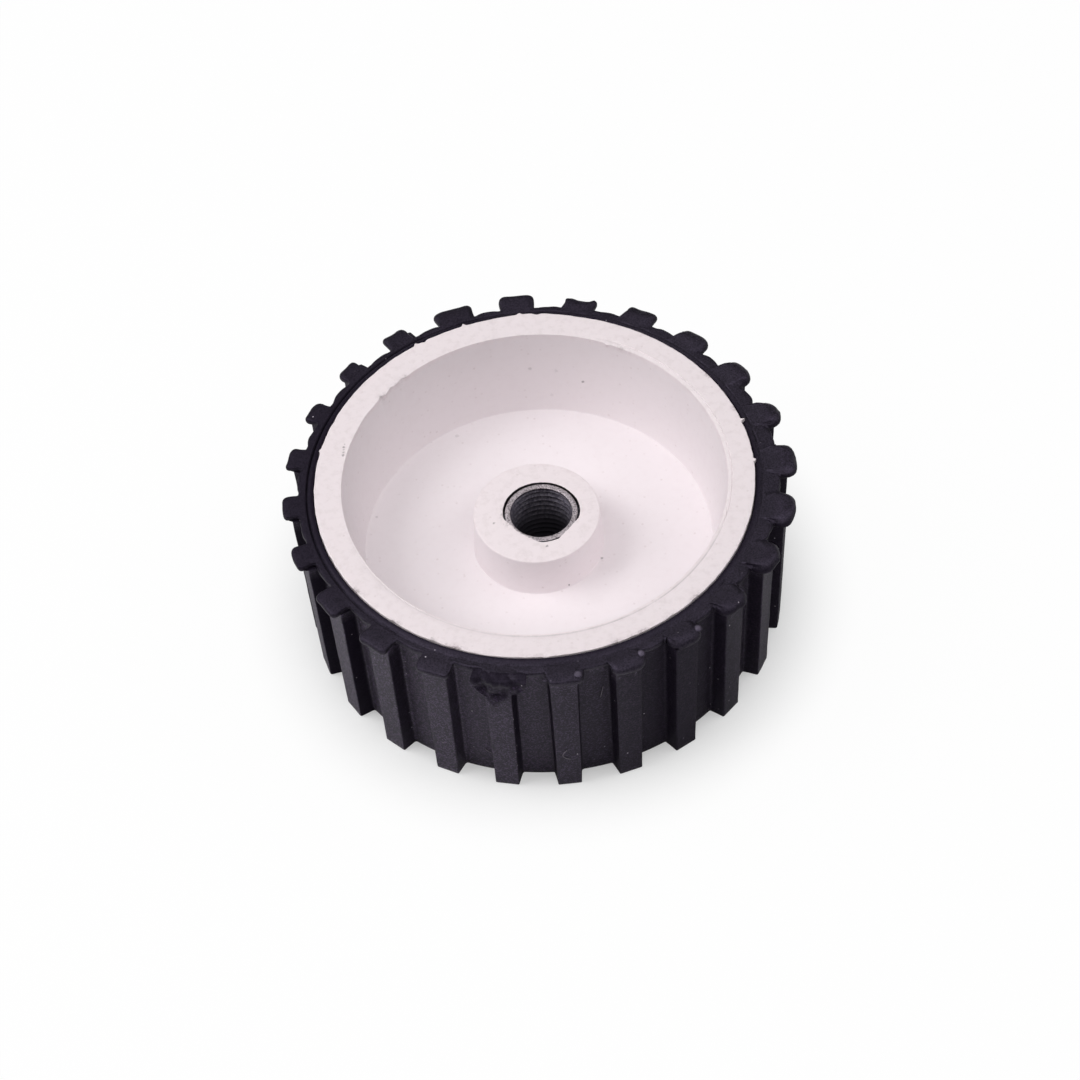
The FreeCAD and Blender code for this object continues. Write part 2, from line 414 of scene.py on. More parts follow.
@dataclass(frozen=True)
class Finish:
    """A surface finish that makes its own material once."""

    name: str

    def material(self) -> bpy.types.Material:
        """Build the finish's material at the first call, and find it again later.

        Returns:
            The material.
        """
        made = bpy.data.materials.get(self.name)
        if made is None:
            made = bpy.data.materials.new(self.name)
            made.use_nodes = True
            self.dress(made.node_tree, made.node_tree.nodes["Principled BSDF"])
        return made

    def dress(self, tree: Tree, shader: Node) -> None:
        """Lay the finish's pattern on the shader.

        Args:
            tree: node tree of the material.
            shader: its surface shader.
        """
        raise NotImplementedError

    @staticmethod
    def coat(tree: Tree, base: str, coats: list[tuple[Socket, str | Socket]]) -> Socket:
        """Lay colours over each other.

        Args:
            tree: node tree of the material.
            base: hex colour under all the coats.
            coats: share of each coat, and its hex colour or an output with its colour.

        Returns:
            The output with the finished colour.
        """
        colour = linear(base)
        for share, top in coats:
            colour = add_node(tree, "ShaderNodeMix", {
                "Factor_Float": share, "A_Color": colour,
                "B_Color": linear(top) if isinstance(top, str) else top}, data_type="RGBA")
        return colour

    @staticmethod
    def specks(tree: Tree, place: Socket, size_mm: float, core: float, rim: float, rare: float,
               most: float) -> Socket:
        """Scatter round specks of uneven strength.

        Args:
            tree: node tree of the material.
            place: output with the place on the piece.
            size_mm: distance from speck to speck.
            core: share of that distance over which a speck is full.
            rim: share of that distance at which it ends.
            rare: share of the specks that are left out.
            most: share of the strongest speck.

        Returns:
            The output with the specks' share.
        """
        add = partial(add_node, tree)
        near = add("ShaderNodeTexVoronoi", {"Vector": place, "Scale": per_metre(size_mm)})
        dot = add("ShaderNodeMapRange", {"Value": near, "From Min": core, "From Max": rim, "To Min": 1.0,
                                         "To Max": 0.0}, interpolation_type="SMOOTHSTEP")
        draw = add("ShaderNodeSeparateColor", {"Color": near.node.outputs["Color"]})
        kept = add("ShaderNodeMapRange", {"Value": draw, "From Min": rare, "To Max": most})
        return add("ShaderNodeMath", {"Value": dot, "Value_001": kept}, operation="MULTIPLY")


@dataclass(frozen=True)
class Mark:
    """A dark spot on a surface: its middle, its radius and how strongly it shows."""

    x: float
    y: float
    z: float
    radius: float
    strength: float


@dataclass(frozen=True)
class MouldedAbs(Finish):
    """White ABS, moulded, with blade-trimmed faces: a soft white with tan flecks and a few dark marks."""

    name: str = "moulded_white_abs"
    body: str = "#F0E8EB"
    trimmed: str = "#F0E5E8"
    cloud: str = "#DFD3D5"
    fleck: str = "#C8B9B9"
    mark: str = "#5B5054"
    grime: str = "#7A6C70"
    # Dark of dirty seams, and of the painted shade on the hole's wall
    seam_dirt_and_hole_shade: str = "#2A2428"
    cloud_mm: float = 1.1
    fleck_mm: float = 0.9
    wander_mm: float = 0.35
    grime_mm: float = 0.7
    grain_mm: float = 0.22
    marks: tuple[Mark, ...] = (
        Mark(8.36, 24.16, 18.17, 0.34, 0.9), Mark(0.89, 26.04, 20.07, 0.4, 0.35),
        Mark(4.62, 25.49, 19.68, 0.4, 0.2), Mark(3.77, 24.9, 15.11, 0.35, 0.16),
        Mark(-10.63, 21.31, 12.35, 0.4, 0.25), Mark(-23.32, 7.74, 12.35, 0.3, 0.35),
        Mark(8.0, -3.98, 12.35, 0.3, 0.8), Mark(2.85, -8.55, 12.78, 0.24, 0.95),
        Mark(0.23, -6.22, 19.2, 0.27, 0.85), Mark(-6.81, -1.1, 19.2, 0.25, 0.7),
        Mark(-26.82, 9.6, 26.4, 0.26, 0.8), Mark(-27.05, 8.2, 26.4, 0.3, 0.8),
        Mark(-26.95, 8.7, 26.4, 0.24, 0.6), Mark(-26.85, 9.15, 26.4, 0.22, 0.5),
        Mark(-26.72, 10.2, 26.4, 0.2, 0.6))

    def spots(self, tree: Tree, place: Socket) -> Socket:
        """Draw the marks, at a place that wanders, which gives them ragged outlines.

        Args:
            tree: node tree of the material.
            place: output with the place on the piece.

        Returns:
            The output with the marks' share.
        """
        add = partial(add_node, tree)
        stray = 1.1 * self.wander_mm * MM
        wander = add("ShaderNodeTexNoise", {"Vector": place, "Scale": per_metre(self.wander_mm)}, "Color")
        strayed = add("ShaderNodeVectorMath", {
            "Vector": wander, "Vector_001": [stray] * 3, "Vector_002": place}, operation="MULTIPLY_ADD")
        centred = add("ShaderNodeVectorMath", {"Vector": strayed, "Vector_001": [stray / 2] * 3},
                      operation="SUBTRACT")
        share = None
        for mark in self.marks:
            middle = [v * MM for v in (mark.x, mark.y, mark.z)]
            away = add("ShaderNodeVectorMath", {"Vector": centred, "Vector_001": middle}, operation="DISTANCE")
            own = add("ShaderNodeMapRange", {
                "Value": away, "From Min": 0.3 * mark.radius * MM, "From Max": mark.radius * MM,
                "To Min": 0.7 * mark.strength, "To Max": 0.0}, interpolation_type="SMOOTHSTEP")
            if share:
                own = add("ShaderNodeMath", {"Value": share, "Value_001": own}, operation="MAXIMUM")
            share = own
        return share

    def dress(self, tree: Tree, shader: Node) -> None:
        """Lay clouds, flecks, marks, edge grime, dark seams, painted shade on the hole's wall and a fine
        moulded grain on the shader.

        Args:
            tree: node tree of the material.
            shader: its surface shader.
        """
        add = partial(add_node, tree)
        place = add("ShaderNodeTexCoord", out="Object")
        cut, edge, seam_dirt_and_hole_shade = (add("ShaderNodeAttribute", out="Fac", attribute_name=name)
                           for name in ("trimmed", "grime", "seam_dirt_and_hole_shade"))
        cloud = add("ShaderNodeTexNoise", {
            "Vector": place, "Scale": per_metre(self.cloud_mm), "Detail": 3.0, "Roughness": 0.6})
        # The clouds show on the trimmed faces, and hardly in the dish
        most = add("ShaderNodeMath", {"Value": cut, "Value_001": 0.4, "Value_002": 0.1},
                   operation="MULTIPLY_ADD")
        clouds = add("ShaderNodeMapRange", {
            "Value": cloud, "From Min": 0.48, "From Max": 0.72, "To Max": most})
        # Flecks are drawn a little larger than the finest dirt, so that they show at all
        flecks = self.specks(tree, place, self.fleck_mm, core=0.05, rim=0.3, rare=0.7, most=0.35)
        patch = add("ShaderNodeTexNoise", {
            "Vector": place, "Scale": per_metre(self.grime_mm), "Detail": 4.0, "Roughness": 0.65})
        patches = add("ShaderNodeMapRange", {
            "Value": patch, "From Min": 0.42, "From Max": 0.64, "To Max": 0.85})
        grime = add("ShaderNodeMath", {"Value": edge, "Value_001": patches}, operation="MULTIPLY")
        # The seam colour is dirt in the scored line and painted shade on the hole's wall
        colour = self.coat(tree, self.body, [
            (cut, self.trimmed), (clouds, self.cloud), (flecks, self.fleck),
            (self.spots(tree, place), self.mark), (grime, self.grime), (seam_dirt_and_hole_shade, self.seam_dirt_and_hole_shade)])
        gloss = add("ShaderNodeMapRange", {
            "Value": cloud, "From Min": 0.3, "From Max": 0.7, "To Min": 0.46, "To Max": 0.6})
        # The moulded grain is finer than a pixel, so it is drawn at about two pixels
        grain = add("ShaderNodeTexNoise", {"Vector": place, "Scale": per_metre(self.grain_mm)})
        bump = add("ShaderNodeBump", {"Height": grain, "Strength": 0.12, "Distance": 0.02 * MM})
        feed(tree, shader, {"Base Color": colour, "Roughness": gloss, "IOR": 1.5, "Normal": bump})


@dataclass(frozen=True)
class MouldedRubber(Finish):
    """Black rubber, moulded with a matt grain: near black, with a dusty plum bloom whose haze and sheen follow
    painted light and shade, and wear at the back.
    """

    name: str = "moulded_black_rubber"
    body: str = "#0F0E10"
    bloom: str = "#1B181E"
    bare: str = "#1A1520"
    haze: str = "#4B3F55"
    sheen: str = "#E7D5FF"
    dust: str = "#CFC6D2"
    # Light colour of the painted highlight on the knobs
    knob_highlight: str = "#615A68"
    bloom_mm: float = 3.0
    grain_mm: float = 0.22
    dust_mm: float = 1.4
    haze_mm: float = 0.18
    tread_below_mm: float = 24.9
    wear_and_shade_share: float = 0.85

    def dress(self, tree: Tree, shader: Node) -> None:
        """Lay a bloom, a haze, dust and a matt grain on the shader, with painted light and shade, and a painted
        highlight on its polished knobs.

        Args:
            tree: node tree of the material.
            shader: its surface shader.
        """
        add = partial(add_node, tree)
        place = add("ShaderNodeTexCoord", out="Object")
        wear_and_painted_shade, polish_and_highlight = (add("ShaderNodeAttribute", out="Fac", attribute_name=name)
                         for name in ("wear_and_painted_shade", "polish_and_highlight"))
        bloom, grain = (add("ShaderNodeTexNoise", {
            "Vector": place, "Scale": per_metre(size), "Detail": detail, "Roughness": 0.6})
            for size, detail in ((self.bloom_mm, 4.0), (self.grain_mm, 2.0)))
        both = add("ShaderNodeMath", {"Value": bloom, "Value_001": grain}, operation="MULTIPLY")
        bloomed = add("ShaderNodeMapRange", {"Value": both, "From Min": 0.13, "From Max": 0.4})
        # A plum haze lies in grains on the tread, thinned where shade is painted
        level = add("ShaderNodeSeparateXYZ", {"Vector": place}, "Z")
        tread = add("ShaderNodeMath", {"Value": level, "Value_001": self.tread_below_mm * MM},
                    operation="LESS_THAN")
        hazy, left = (add("ShaderNodeMath", {
            "Value": wear_and_painted_shade, "Value_001": -self.wear_and_shade_share, "Value_002": full}, operation="MULTIPLY_ADD")
            for full in (tread, 1.0))
        cells = add("ShaderNodeTexVoronoi", {"Vector": place, "Scale": per_metre(self.haze_mm)}, "Color")
        draw = add("ShaderNodeSeparateColor", {"Color": cells})
        haze = add("ShaderNodeMapRange", {"Value": draw, "From Min": 0.6, "From Max": 0.9, "To Max": hazy})
        # Dust is drawn as grains of about a pixel, larger than most of the real ones
        dust = self.specks(tree, place, self.dust_mm, core=0.04, rim=0.1, rare=0.6, most=0.85)
        # The painted light and shade also tints the colour towards the bare rubber, and the knobs' tops get a
        # painted highlight
        colour = self.coat(tree, self.body, [
            (bloomed, self.bloom), (wear_and_painted_shade, self.bare), (haze, self.haze), (dust, self.dust),
            (polish_and_highlight, self.knob_highlight)])
        # The grain makes the surface dull in spots and greys its reflection in grains, and the painted shade
        # weakens that reflection
        dull, sandy = (add("ShaderNodeMapRange", {
            "Value": grain, "From Min": start, "From Max": 1 - start, "To Min": least, "To Max": most})
            for start, least, most in ((0.3, 0.42, 0.66), (0.35, 0.31, 0.72)))
        rough = add("ShaderNodeMath", {"Value": polish_and_highlight, "Value_001": -0.22, "Value_002": dull},
                    operation="MULTIPLY_ADD")
        grey = add("ShaderNodeMath", {"Value": left, "Value_001": sandy}, operation="MULTIPLY")
        bump = add("ShaderNodeBump", {"Height": grain, "Strength": 0.8, "Distance": 0.06 * MM})
        feed(tree, shader, {"Base Color": colour, "Roughness": rough, "IOR": 1.5, "Specular IOR Level": grey,
                            "Specular Tint": linear(self.sheen), "Normal": bump})


@dataclass(frozen=True)
class GrittySteel(Finish):
    """Steel with a fine grit, which the steel finishes share."""

    grit_mm: float = 0.2

    def grit(self, tree: Tree, place: Socket) -> Socket:
        """Draw the grit, in a slice of 4D noise because 3D noise shows a seam at the axle.

        Args:
            tree: node tree of the material.
            place: output with the place on the piece.

        Returns:
            The output with the grit.
        """
        return add_node(tree, "ShaderNodeTexNoise", {
            "Vector": place, "W": 0.37, "Scale": per_metre(self.grit_mm), "Detail": 3.0,
            "Roughness": 0.7}, "Fac", noise_dimensions="4D")


@dataclass(frozen=True)
class TurnedSteel(GrittySteel):
    """Plain carbon steel, turned on a lathe: a dull grey ring with fine circles and a sandy glitter."""

    name: str = "lathe_turned_steel"
    bright: str = "#DED4D9"
    dull: str = "#7A7277"
    feed_mm: float = 0.16

    def dress(self, tree: Tree, shader: Node) -> None:
        """Lay turning circles and grit on the shader.

        Args:
            tree: node tree of the material.
            shader: its surface shader.
        """
        add = partial(add_node, tree)
        place = add("ShaderNodeTexCoord", out="Object")
        grit = self.grit(tree, place)
        # The wave node runs through one turn over a length of about 0.314 of its own units
        circles = add("ShaderNodeTexWave", {
            "Vector": place, "Scale": 0.314 * per_metre(self.feed_mm), "Distortion": 1.2}, "Fac",
            wave_type="RINGS", rings_direction="Z")
        share = add("ShaderNodeMapRange", {"Value": grit, "From Min": 0.38, "From Max": 0.55})
        rough = add("ShaderNodeMapRange", {
            "Value": grit, "From Min": 0.3, "From Max": 0.7, "To Min": 0.62, "To Max": 0.48})
        height = add("ShaderNodeMath", {"Value": circles, "Value_001": grit}, operation="ADD")
        bump = add("ShaderNodeBump", {"Height": height, "Strength": 0.4, "Distance": 0.02 * MM})
        feed(tree, shader, {"Base Color": self.coat(tree, self.dull, [(share, self.bright)]), "Metallic": 1.0,
                            "Roughness": rough, "Normal": bump})


@dataclass(frozen=True)
class OiledSteel(GrittySteel):
    """Plain carbon steel, threaded and left oily: grey ridges at the mouth, and painted shade that turns it
    matt black down the bore.
    """

    name: str = "oiled_threaded_steel"
    bore_painted_shade: str = "#231F28"
    film: str = "#56515D"
    metal: str = "#96909B"
    grit_mm: float = 0.3
    shade_full_below_mm: float = 11.5
    unshaded_above_mm: float = 18.8

    def dress(self, tree: Tree, shader: Node) -> None:
        """Lay a dark uneven film on the shader, and painted shade that darkens it down the bore.

        Args:
            tree: node tree of the material.
            shader: its surface shader.
        """
        add = partial(add_node, tree)
        place = add("ShaderNodeTexCoord", out="Object")
        grit = self.grit(tree, place)
        share = add("ShaderNodeMapRange", {"Value": grit, "From Min": 0.4, "From Max": 0.75})
        rough = add("ShaderNodeMapRange", {
            "Value": grit, "From Min": 0.3, "From Max": 0.7, "To Min": 0.75, "To Max": 0.6})
        # Painted shade: the film turns darker and less metallic down the bore
        unshaded = add("ShaderNodeMapRange", {
            "Value": add("ShaderNodeSeparateXYZ", {"Vector": place}, "Z"),
            "From Min": self.shade_full_below_mm * MM, "From Max": self.unshaded_above_mm * MM})
        bare = self.coat(tree, self.film, [(share, self.metal)])
        feed(tree, shader, {"Base Color": self.coat(tree, self.bore_painted_shade, [(unshaded, bare)]), "Metallic": unshaded,
                            "Specular IOR Level": 0.2, "Roughness": rough})


@dataclass(frozen=True)
class Lint(Finish):
    """Cotton lint and plastic dust: pale grey, quite matt, with a soft edge against black rubber."""

    name: str = "lint_and_dust"
    pale: str = "#8D858F"
    dark: str = "#4F4852"
    patch_mm: float = 0.5

    def dress(self, tree: Tree, shader: Node) -> None:
        """Lay an uneven pale grey on the shader.

        Args:
            tree: node tree of the material.
            shader: its surface shader.
        """
        place = add_node(tree, "ShaderNodeTexCoord", out="Object")
        patch = add_node(tree, "ShaderNodeTexNoise", {"Vector": place, "Scale": per_metre(self.patch_mm)})
        feed(tree, shader, {"Base Color": self.coat(tree, self.dark, [(patch, self.pale)]), "Roughness": 0.9})


@dataclass(frozen=True)
class PaperSweep(Finish):
    """White studio paper: matt, and white to the camera while it keeps the object's shadow."""

    name: str = "white_studio_paper"
    paper: str = "#F7F7F7"
    mottle: str = "#F1F1F1"
    fibre_mm: float = 3.0
    seen_share: float = 0.96
    seen_from_mm: float = 22.0
    seen_full_mm: float = 46.0
    mirrored_share: float = 0.9
    mirrored_from_mm: float = 50.0
    mirrored_full_mm: float = 95.0
    shade_x_mm: float = 18.0
    shade_y_mm: float = -8.0

    def dress(self, tree: Tree, shader: Node) -> None:
        """Mix the lit paper with a white glow that only camera, glossy and transmission rays see.

        Args:
            tree: node tree of the material.
            shader: its surface shader.
        """
        add = partial(add_node, tree)
        place = add("ShaderNodeTexCoord", out="Object")
        fibre = add("ShaderNodeTexNoise", {"Vector": place, "Scale": per_metre(self.fibre_mm)})
        feed(tree, shader, {"Base Color": self.coat(tree, self.paper, [(fibre, self.mottle)]), "Roughness": 0.9,
                            "Specular IOR Level": 0.1})
        path = add("ShaderNodeLightPath").node.outputs
        seen = add("ShaderNodeMath", {
            "Value": path["Is Camera Ray"], "Value_001": path["Is Transmission Ray"]}, operation="MAXIMUM")
        # The paper under the wheel does not glow, and close to it the tread mirrors the paper with its shadow
        glows = []
        for ray, most, near, full, x, y in (
                (seen, self.seen_share, self.seen_from_mm, self.seen_full_mm, 0.0, 0.0),
                (path["Is Glossy Ray"], self.mirrored_share, self.mirrored_from_mm, self.mirrored_full_mm,
                 self.shade_x_mm, self.shade_y_mm)):
            away = add("ShaderNodeVectorMath", {
                "Vector": place, "Vector_001": (x * MM, y * MM, 0.0)}, operation="DISTANCE")
            clear = add("ShaderNodeMapRange", {
                "Value": away, "From Min": near * MM, "From Max": full * MM, "To Max": most},
                interpolation_type="SMOOTHSTEP")
            glows.append(add("ShaderNodeMath", {"Value": ray, "Value_001": clear}, operation="MULTIPLY"))
        share = add("ShaderNodeMath", {"Value": glows[0], "Value_001": glows[1]}, operation="MAXIMUM")
        white = add("ShaderNodeEmission", {"Color": (1.0, 1.0, 1.0, 1.0), "Strength": 1.0})
        both = add("ShaderNodeMixShader", {"Fac": share, "Shader": shader.outputs["BSDF"], "Shader_001": white})
        feed(tree, tree.nodes["Material Output"], {"Surface": both})


@dataclass(frozen=True)
class Corner:
    """A corner of a turned section: its radius, its height and how much it is rounded."""

    radius: float
    height: float
    round: float = 0.0


def trace_section(corners: list[Corner], steps: int, run: float) -> Array:
    """Draw a closed section through corners, with each corner rounded and each run divided.

    Args:
        corners: corners in order.
        steps: points on a rounded corner.
        run: longest piece of a straight run.

    Returns:
        One row of radius and height for each point.
    """
    line: list[Array] = []
    spots = np.array([(c.radius, c.height) for c in corners])
    for i, corner in enumerate(corners):
        here = spots[i]
        back, on = spots[i - 1] - here, spots[(i + 1) % len(corners)] - here
        cut = min(corner.round, 0.45 * np.linalg.norm(back), 0.45 * np.linalg.norm(on))
        if cut > 0:
            start, end = (here + way / np.linalg.norm(way) * cut for way in (back, on))
            line.extend(bend(start, here, end, np.linspace(0, 1, steps)))
        else:
            line.append(here)
    full: list[Array] = []
    for i, here in enumerate(line):
        on = line[(i + 1) % len(line)] - here
        parts = max(1, math.ceil(np.linalg.norm(on) / run))
        full.extend(here + on * k / parts for k in range(parts))
    return np.array(full)


def full_circle(count: int) -> Array:
    """Return this many even angles around a circle, in radians."""
    return np.linspace(0, FULL_TURN, count, endpoint=False)


@dataclass
class Rim:
    """The white moulding: tyre seat, trimmed face, dish, web and hub boss."""

    finish: Finish
    face_height: float = 26.4
    face_radius: float = 31.0
    back_radius: float = 29.8
    line_radius: float = 27.62
    line_depth: float = 0.11
    mouth_radius: float = 27.15
    lip_drop: float = 0.12
    lip_round: float = 0.4
    lip_tightness: float = 0.45
    floor_radius: float = 24.85
    floor_height: float = 12.35
    fillet: float = 0.16
    boss_radius: float = 9.0
    boss_foot_radius: float = 9.25
    boss_height: float = 19.2
    web_back: float = 8.95
    back_mouth_radius: float = 26.0
    back_floor_radius: float = 24.9
    hole_radius: float = 5.5
    skin_height: float = 19.14
    shift_x: float = -0.65
    columns: int = 960
    rolled: Sector = Sector(1.0, -25, 62, 14)
    scored: Sector = Sector(1.0, -155, 66, 24)
    skin_back: tuple[Sector, ...] = (Sector(0.09, 105, 165, 30), Sector(0.09, -12, 25, 20))
    hole_grime: Sector = Sector(0.9, 165, 205, 12)
    line_dirt: tuple[Sector, ...] = (Sector(0.1, -105, -28, 12), Sector(0.17, -150, -20, 30))
    face_flaws: tuple[EdgeFlaw, ...] = (
        EdgeFlaw(85.0, 8.0, 0.28), EdgeFlaw(-107.0, 6.0, 0.12), EdgeFlaw(13.5, 0.22, 0.6),
        EdgeFlaw(12.3, 0.7, -0.1), EdgeFlaw(-0.5, 0.4, 0.45), EdgeFlaw(117.9, 0.5, 0.4),
        EdgeFlaw(115.5, 0.5, -0.2), EdgeFlaw(103.8, 0.4, 0.45), EdgeFlaw(88.6, 0.5, 0.3),
        EdgeFlaw(84.0, 0.9, -0.22), EdgeFlaw(162.2, 0.4, 0.25), EdgeFlaw(152.0, 1.0, -0.1),
        EdgeFlaw(-58.0, 1.2, -0.1), EdgeFlaw(-50.0, 0.9, -0.14), EdgeFlaw(-70.0, 1.0, -0.1),
        EdgeFlaw(-92.5, 0.8, 0.18), EdgeFlaw(-122.0, 1.0, -0.14), EdgeFlaw(-134.0, 1.2, -0.12))
    mouth_flaws: tuple[EdgeFlaw, ...] = (
        EdgeFlaw(138.2, 0.7, 0.5), EdgeFlaw(136.5, 0.9, -0.2), EdgeFlaw(129.2, 0.8, 0.42),
        EdgeFlaw(126.8, 1.2, -0.18), EdgeFlaw(133.5, 0.6, 0.25), EdgeFlaw(147.0, 2.0, 0.12),
        EdgeFlaw(61.8, 0.8, -0.3), EdgeFlaw(57.0, 2.5, -0.12), EdgeFlaw(-30.0, 1.4, -0.15))
    face_stains: tuple[EdgeFlaw, ...] = (
        EdgeFlaw(-147.7, 2.6, 0.7), EdgeFlaw(-133.3, 1.8, 0.6), EdgeFlaw(-123.1, 2.0, 0.7),
        EdgeFlaw(-115.5, 3.0, 1.0), EdgeFlaw(-49.2, 2.2, 0.8), EdgeFlaw(-58.6, 1.8, 0.6),
        EdgeFlaw(-67.5, 2.6, 0.8), EdgeFlaw(-74.2, 1.6, 0.7), EdgeFlaw(31.3, 1.2, 0.8),
        EdgeFlaw(18.0, 1.0, 0.8), EdgeFlaw(140.0, 4.0, 0.3), EdgeFlaw(-95.0, 4.0, 0.4))
    mouth_stains: tuple[EdgeFlaw, ...] = (
        EdgeFlaw(138.0, 1.6, 0.8), EdgeFlaw(128.5, 1.5, 0.8), EdgeFlaw(133.0, 2.5, 0.4),
        EdgeFlaw(57.0, 4.0, 0.35))

    def section(self) -> Array:
        """Trace the closed section of the moulding.

        Returns:
            The section's points as radius and height.
        """
        face, boss, fillet = self.face_height, self.boss_height, self.fillet
        return trace_section([
            Corner(self.hole_radius, 0.0, 0.15), Corner(self.boss_radius, 0.0, 0.3),
            Corner(self.boss_foot_radius, self.web_back, 0.6),
            Corner(self.back_floor_radius, self.web_back, 0.8),
            Corner(self.back_mouth_radius, 0.0, 0.3), Corner(self.back_radius, 0.0, 0.3),
            Corner(self.face_radius, face, 0.16), Corner(self.face_radius - 0.7, face),
            Corner(self.line_radius + 0.8, face), Corner(self.line_radius + 0.09, face),
            Corner(self.line_radius, face - self.line_depth), Corner(self.line_radius - 0.07, face - 0.03),
            Corner(self.mouth_radius, face - self.lip_drop, self.lip_round),
            Corner(self.mouth_radius - 0.16, face - 1.1), Corner(self.floor_radius, self.floor_height, fillet),
            Corner(self.boss_foot_radius, self.floor_height, fillet), Corner(self.boss_radius, boss, 0.22),
            Corner(self.hole_radius + 0.45, boss), Corner(self.hole_radius, boss, 0.05),
            Corner(self.hole_radius, self.skin_height, 0.03)], steps=5, run=6.0)

    def skin_line(self, angle: Array) -> Array:
        """Work out how far in the skin of plastic around the hole reaches.

        Args:
            angle: angles in radians.

        Returns:
            The radius of its edge at each angle.
        """
        degrees = away_from(0.0, np.degrees(angle))
        # On one side the skin is smeared over the bush, and on another it ends in a straight cut
        smear = np.minimum(ramp(degrees, -178, -156), ramp(degrees, -92, -122))
        smear = smear * smear * (3 - 2 * smear)
        cut = np.maximum(4.95 / np.maximum(np.cos(np.radians(degrees + 43)), 0.5), 5.0)
        reach = np.minimum(self.hole_radius - 0.06 - smear * 0.72, cut) + sum_at(degrees, self.skin_back)
        return reach + (0.03 + 0.11 * smear) * ripple(angle, 31, 10, 70, 0.4)

    def near_face(self, height: Array) -> Array:
        """Return 1 at heights by the trimmed face, and 0 further down."""
        return ramp(height, self.face_height - 0.5, self.face_height - 0.15)

    def worked(self, section: Array, angle: Array) -> tuple[Array, Array]:
        """Turn the section and work its edges over.

        Args:
            section: radius and height of each ring.
            angle: angle of each column, in radians.

        Returns:
            Radius and height of each point, as rings by columns.
        """
        (out, up), degrees = section.T, np.degrees(angle)
        radius, height = (np.repeat(line[:, None], self.columns, axis=1) for line in (out, up))
        near_face, rolled = self.near_face(up), self.rolled.at(degrees)
        outer = near_face * ramp(out, self.face_radius - 0.5, self.face_radius - 0.1)
        uneven = sum_at(degrees, self.face_flaws) + 0.05 * ripple(angle, 11, 25, 160, 0.5)
        radius += outer[:, None] * uneven
        # The lip of the dish is rolled at the right and tight elsewhere
        lip = section - (self.mouth_radius, self.face_height - self.lip_drop)
        at_lip = np.hypot(*lip.T) < self.lip_round + 0.05
        tight = self.lip_tightness * (1 - rolled)
        radius[at_lip] -= lip[at_lip, :1] * tight
        height[at_lip] -= lip[at_lip, 1:] * tight - self.lip_drop * (1 - rolled)
        # The scored line runs off centre, and ends at the back left
        line = np.abs(out - self.line_radius) < 0.12
        radius[line] += 0.15 * np.cos(angle) + 0.1 * np.sin(angle)
        sunk = self.face_height - up[line, None]
        height[line] += sunk * (1 - self.scored.at(degrees) * (0.55 + 0.45 * rolled))
        height = np.minimum(height, self.face_height)
        inner = near_face * ramp(out, self.line_radius - 0.2, self.line_radius - 0.47)
        uneven = sum_at(degrees, self.mouth_flaws) + 0.035 * ripple(angle, 12, 20, 140, 0.5)
        radius += inner[:, None] * uneven
        face = ramp(up, self.face_height - 0.2, self.face_height)
        height -= face[:, None] * 0.02 * (1 + ripple(angle, 13, 3, 40, 0.8))
        skin = (np.abs(out - self.hole_radius) < 0.06) & (up > self.skin_height - 0.01)
        radius[skin] += self.skin_line(angle) - self.hole_radius
        return radius, height

    def dirt_and_shade(self, section: Array, angle: Array) -> dict[str, Array]:
        """Say where the moulding is trimmed, where grime lies, where a seam is dirty, and where the hole's wall
        is painted dark as shade.

        Args:
            section: radius and height of each ring.
            angle: angle of each column, in radians.

        Returns:
            One share for each point, by the name of its attribute.
        """
        (out, up), degrees = section.T[..., None], np.degrees(angle)
        near_face, on_boss = self.near_face(up), np.abs(up - self.boss_height) < 0.07
        edge = near_face * ramp(out, self.face_radius - 0.75, self.face_radius - 0.15)
        mouth = near_face * ramp(out, self.mouth_radius + 0.65, self.mouth_radius + 0.15)
        grime = (edge * np.clip(sum_at(degrees, self.face_stains), 0, 1)
                 + mouth * np.clip(sum_at(degrees, self.mouth_stains), 0, 1)
                 + on_boss * (out < self.hole_radius + 0.3) * self.hole_grime.at(degrees))
        groove = np.abs(out - self.line_radius) < 0.03
        dirty = np.clip(sum_at(degrees, self.line_dirt) * (1 + 0.5 * ripple(angle, 14, 10, 80, 0.3)), 0, 1)
        # The hole's wall is painted dark: painted shade in the gap around the bush
        hole_wall_shade = (out < self.hole_radius + 0.06) & (up < self.boss_height - 0.03)
        trimmed = np.repeat(np.maximum(near_face, on_boss), self.columns, axis=1)
        return {"grime": grime, "trimmed": trimmed, "seam_dirt_and_hole_shade": groove * dirty + hole_wall_shade}

    def build(self) -> Piece:
        """Turn the section, work its edges over and lay the dirt and the painted shade.

        Returns:
            The finished piece.
        """
        section, angle = self.section(), full_circle(self.columns)
        radius, height = self.worked(section, angle)
        points = polar(radius, angle, height)
        # The rim is off centre, apart from the hole in its boss
        points[..., 0] += self.shift_x * ramp(section[:, :1], self.hole_radius, self.boss_radius - 0.3)
        faces = loop_faces(len(section), self.columns, True)
        piece = new_piece("rim_moulding", points, faces, self.finish.material())
        for name, values in self.dirt_and_shade(section, angle).items():
            set_weight(piece.data, name, values)
        tidy_shells(piece.data)
        smooth(piece, 38)
        return piece


@dataclass(frozen=True)
class Swing:
    """A size that changes around the tyre: its mean, and the cosine and sine parts of its waves."""

    mean: float
    waves: tuple[tuple[float, float], ...]

    def change(self, turn: Array) -> Array:
        """Return how far the size is from its mean at angles in radians."""
        return sum(c * np.cos(n * turn) + s * np.sin(n * turn) for n, (c, s) in enumerate(self.waves, start=1))


